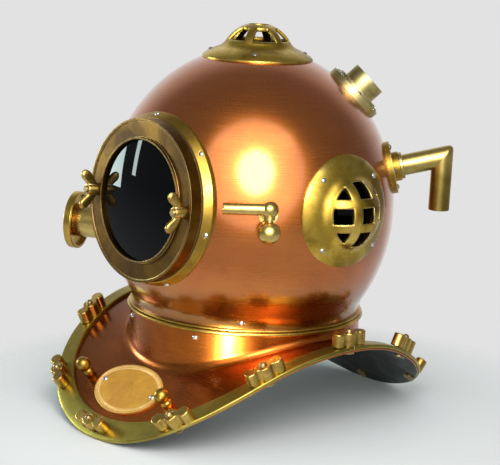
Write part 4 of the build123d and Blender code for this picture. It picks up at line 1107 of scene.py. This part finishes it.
def make_nameplate():
    """A bare oval plate bent to the lobe, with a raised rim and a border of fine ticks."""
    centre = arch_point(0, -NAMEPLATE_FORWARD, 0)
    near = arch_point(0, -NAMEPLATE_FORWARD - MM, 0)
    slope = atan2(centre.z - near.z, MM)
    top = NAMEPLATE_THICKNESS
    rim = top + NAMEPLATE_RIM_HEIGHT

    def oval(inset, lift, tick=0.0, share=1.0):
        points = []
        for i, turn in enumerate(between(0, 2 * pi, NAMEPLATE_STEPS)[:-1]):
            across = (NAMEPLATE_HALF_WIDTH - inset) * cos(turn) * share
            along = (NAMEPLATE_HALF_HEIGHT - inset) * sin(turn) * share
            raised = tick if i % TICK_POINTS < TICK_POINTS / 2 else 0.0
            points.append(arch_point(across, -NAMEPLATE_FORWARD + along * cos(slope), lift + raised))
        return points

    slope_top, slope_foot = NAMEPLATE_RIM_SLOPE
    face_edge = TICK_END + TICK_SLOPE
    rings = [oval(0, NAMEPLATE_GAP), oval(0, rim - NAMEPLATE_RIM_EDGE), oval(NAMEPLATE_RIM_EDGE, rim),
             oval(NAMEPLATE_RIM - slope_top, rim), oval(NAMEPLATE_RIM - slope_foot, top),
             oval(TICK_START - TICK_SLOPE, top), oval(TICK_START, top, TICK_HEIGHT),
             oval(TICK_END, top, TICK_HEIGHT), oval(face_edge, top)]
    rings += [oval(face_edge, top, share=share) for share in between(1, 0, NAMEPLATE_RINGS)[1:-1]]
    mesh = new_mesh(closed_skin(rings, last_tip=arch_point(0, -NAMEPLATE_FORWARD, top)), radians(35))
    add_piece("nameplate_bare", mesh, [plate_gold], "breastplate", "nameplate")


def brail_section():
    """Inset and lift points round a brail's cross section, its top edges well rounded."""
    turns = between(0, radians(90), 4)
    inner = BRAIL_WIDTH - BRAIL_EDGE
    side = BRAIL_THICKNESS - BRAIL_EDGE
    points = [(BRAIL_WIDTH, BRAIL_LIFT)]
    points += [(inner + BRAIL_EDGE * cos(turn), side + BRAIL_EDGE * sin(turn)) for turn in turns]
    points += [(inset, BRAIL_THICKNESS) for inset in between(inner, BRAIL_EDGE, 4)[1:-1]]
    points += [(BRAIL_EDGE - BRAIL_EDGE * cos(turn), side + BRAIL_EDGE * sin(turn)) for turn in turns[::-1]]
    points.append((0, BRAIL_LIFT))
    return points


def make_brail(quarter, start, end):
    """One cast strap along the breastplate's rim between two outline angles."""
    rings = []
    for angle in between(start, end, BRAIL_STEPS):
        rings.append([arch_point(*outline_point(angle, inset), lift) for inset, lift in brail_section()])
    mesh = new_mesh(closed_skin(rings), radians(40))
    add_piece("strap_" + quarter, mesh, [strap_brass], "breastplate", "brail_" + quarter)


make_breastplate()
make_nameplate()
front_gap = BRAIL_GAP / 2 / FRONT_ARC_RADIUS
side_gap = BRAIL_GAP / 2 / SIDE_ARC_RADIUS
make_brail("front_left", -pi / 2 + front_gap, -side_gap)
make_brail("back_left", side_gap, pi / 2 - front_gap)
make_brail("back_right", pi / 2 + front_gap, pi - side_gap)
make_brail("front_right", -pi + side_gap, -pi / 2 - front_gap)

# Floor, backdrop and lights


def add_floor():
    """A pale floor that fades into the backdrop away from the object."""
    corners = [(x * FLOOR_HALF_SIZE, y * FLOOR_HALF_SIZE, 0) for x, y in ((-1, -1), (1, -1), (1, 1), (-1, 1))]
    mesh = bpy.data.meshes.new("floor")
    mesh.from_pydata(corners, [], [(0, 1, 2, 3)])
    floor = bpy.data.objects.new("floor", mesh)
    floor.location.z = cad_low.z - FLOOR_GAP
    bpy.context.scene.collection.objects.link(floor)
    material, tree, shader = new_material("floor")
    shader.inputs["Base Color"].default_value = (*FLOOR_COLOUR, 1)
    shader.inputs["Roughness"].default_value = 0.6
    shader.inputs["Specular IOR Level"].default_value = 0.1
    length = tree.nodes.new("ShaderNodeVectorMath")
    length.operation = "LENGTH"
    tree.links.new(place_vector(tree, (1 / cad_high.x, 1 / cad_high.y, 0)), length.inputs[0])
    fade = spread(tree, length.outputs["Value"], 0.0, 1.0, start=1.05, end=2.0)
    clear = tree.nodes.new("ShaderNodeBsdfTransparent")
    mixer = tree.nodes.new("ShaderNodeMixShader")
    output = [node for node in tree.nodes if node.type == "OUTPUT_MATERIAL"][0]
    tree.links.new(fade, mixer.inputs[0])
    tree.links.new(shader.outputs["BSDF"], mixer.inputs[1])
    tree.links.new(clear.outputs["BSDF"], mixer.inputs[2])
    tree.links.new(mixer.outputs["Shader"], output.inputs["Surface"])
    mesh.materials.append(material)


def background(tree, colour):
    made = tree.nodes.new("ShaderNodeBackground")
    set_or_link(tree, made.inputs["Color"], (*colour, 1) if isinstance(colour, tuple) else colour)
    return made.outputs["Background"]


def mix_shaders(tree, fac, first, second):
    made = tree.nodes.new("ShaderNodeMixShader")
    for socket, value in zip(made.inputs, (fac, first, second)):
        tree.links.new(value, socket)
    return made.outputs["Shader"]


def add_world():
    """A pale backdrop and floor, which metal and glass mirror too, and a darker room before them."""
    world = bpy.data.worlds.new("studio")
    bpy.context.scene.world = world
    world.use_nodes = True
    tree = world.node_tree
    tree.nodes.clear()
    output = tree.nodes.new("ShaderNodeOutputWorld")
    path = tree.nodes.new("ShaderNodeLightPath")
    direction = tree.nodes.new("ShaderNodeTexCoord").outputs["Generated"]
    toward_backdrop = tree.nodes.new("ShaderNodeVectorMath")
    toward_backdrop.operation = "DOT_PRODUCT"
    toward_backdrop.inputs[1].default_value = BACKDROP_SIDE
    tree.links.new(direction, toward_backdrop.inputs[0])
    split = tree.nodes.new("ShaderNodeSeparateXYZ")
    tree.links.new(direction, split.inputs[0])
    behind = spread(tree, toward_backdrop.outputs["Value"], 0.0, 1.0, start=0.50, end=0.90)
    below = spread(tree, split.outputs["Z"], 0.0, 0.6, start=-0.05, end=-0.30)
    pale = calculate(tree, "MAXIMUM", behind, below)
    mirrored = background(tree, mix_colour(tree, pale, ROOM_COLOUR, BACKDROP_COLOUR))
    unseen = mix_shaders(tree, path.outputs["Is Glossy Ray"], background(tree, LIGHT_COLOUR), mirrored)
    seen = calculate(tree, "MAXIMUM", path.outputs["Is Camera Ray"], path.outputs["Is Transmission Ray"])
    whole = mix_shaders(tree, seen, unseen, background(tree, BACKDROP_COLOUR))
    tree.links.new(whole, output.inputs["Surface"])


def add_softbox(name, place, look, width, height, brightness, colour=WHITE, spread_angle=180,
                shape="RECTANGLE"):
    """A soft box of a set brightness that faces a point and isn't itself in the picture."""
    data = bpy.data.lights.new(name, "AREA")
    data.shape = shape
    data.size = width
    data.size_y = height
    data.energy = brightness * pi * width * height
    data.color = colour
    data.spread = radians(spread_angle)
    lamp = bpy.data.objects.new(name, data)
    lamp.location = place
    lamp.rotation_mode = "QUATERNION"
    lamp.rotation_quaternion = (Vector(look) - Vector(place)).to_track_quat("-Z", "Y")
    lamp.visible_camera = False
    bpy.context.scene.collection.objects.link(lamp)


def from_camera(right_angle, up_angle, distance):
    """A place a distance from the bonnet's centre, at angles right and up from the camera's direction."""
    level = camera_back * cos(radians(right_angle)) + camera_right * sin(radians(right_angle))
    way = level * cos(radians(up_angle)) + camera_up * sin(radians(up_angle))
    return BONNET_MIDDLE + way * distance


add_floor()
add_world()
add_softbox("key", from_camera(3, 15.5, 1.2), BONNET_MIDDLE, width=1.86, height=1.80, brightness=1.3,
            shape="ELLIPSE")
add_softbox("key_inner", from_camera(6, 18, 1.18), BONNET_MIDDLE, width=1.15, height=1.20, brightness=0.4)
add_softbox("key_core", from_camera(4, 15, 1.15), BONNET_MIDDLE, width=0.52, height=0.58, brightness=9.0,
            shape="ELLIPSE")
add_softbox("low_card", (0.27, -0.37, 0.045), (0.09, -0.10, 0.105), width=0.10, height=0.07, brightness=1.6,
            spread_angle=16)
add_softbox("window_pane", (-1.23, -0.68, 0.33), (0, -0.16, 0.30), width=0.34, height=0.34, brightness=17.0,
            colour=PANE_COLOUR)
add_softbox("window_strip", (-1.055, -0.93, 0.45), (0, -0.16, 0.30), width=0.04, height=0.40, brightness=17.0,
            colour=STRIP_COLOUR)

bpy.context.scene.view_settings.view_transform = "Standard"
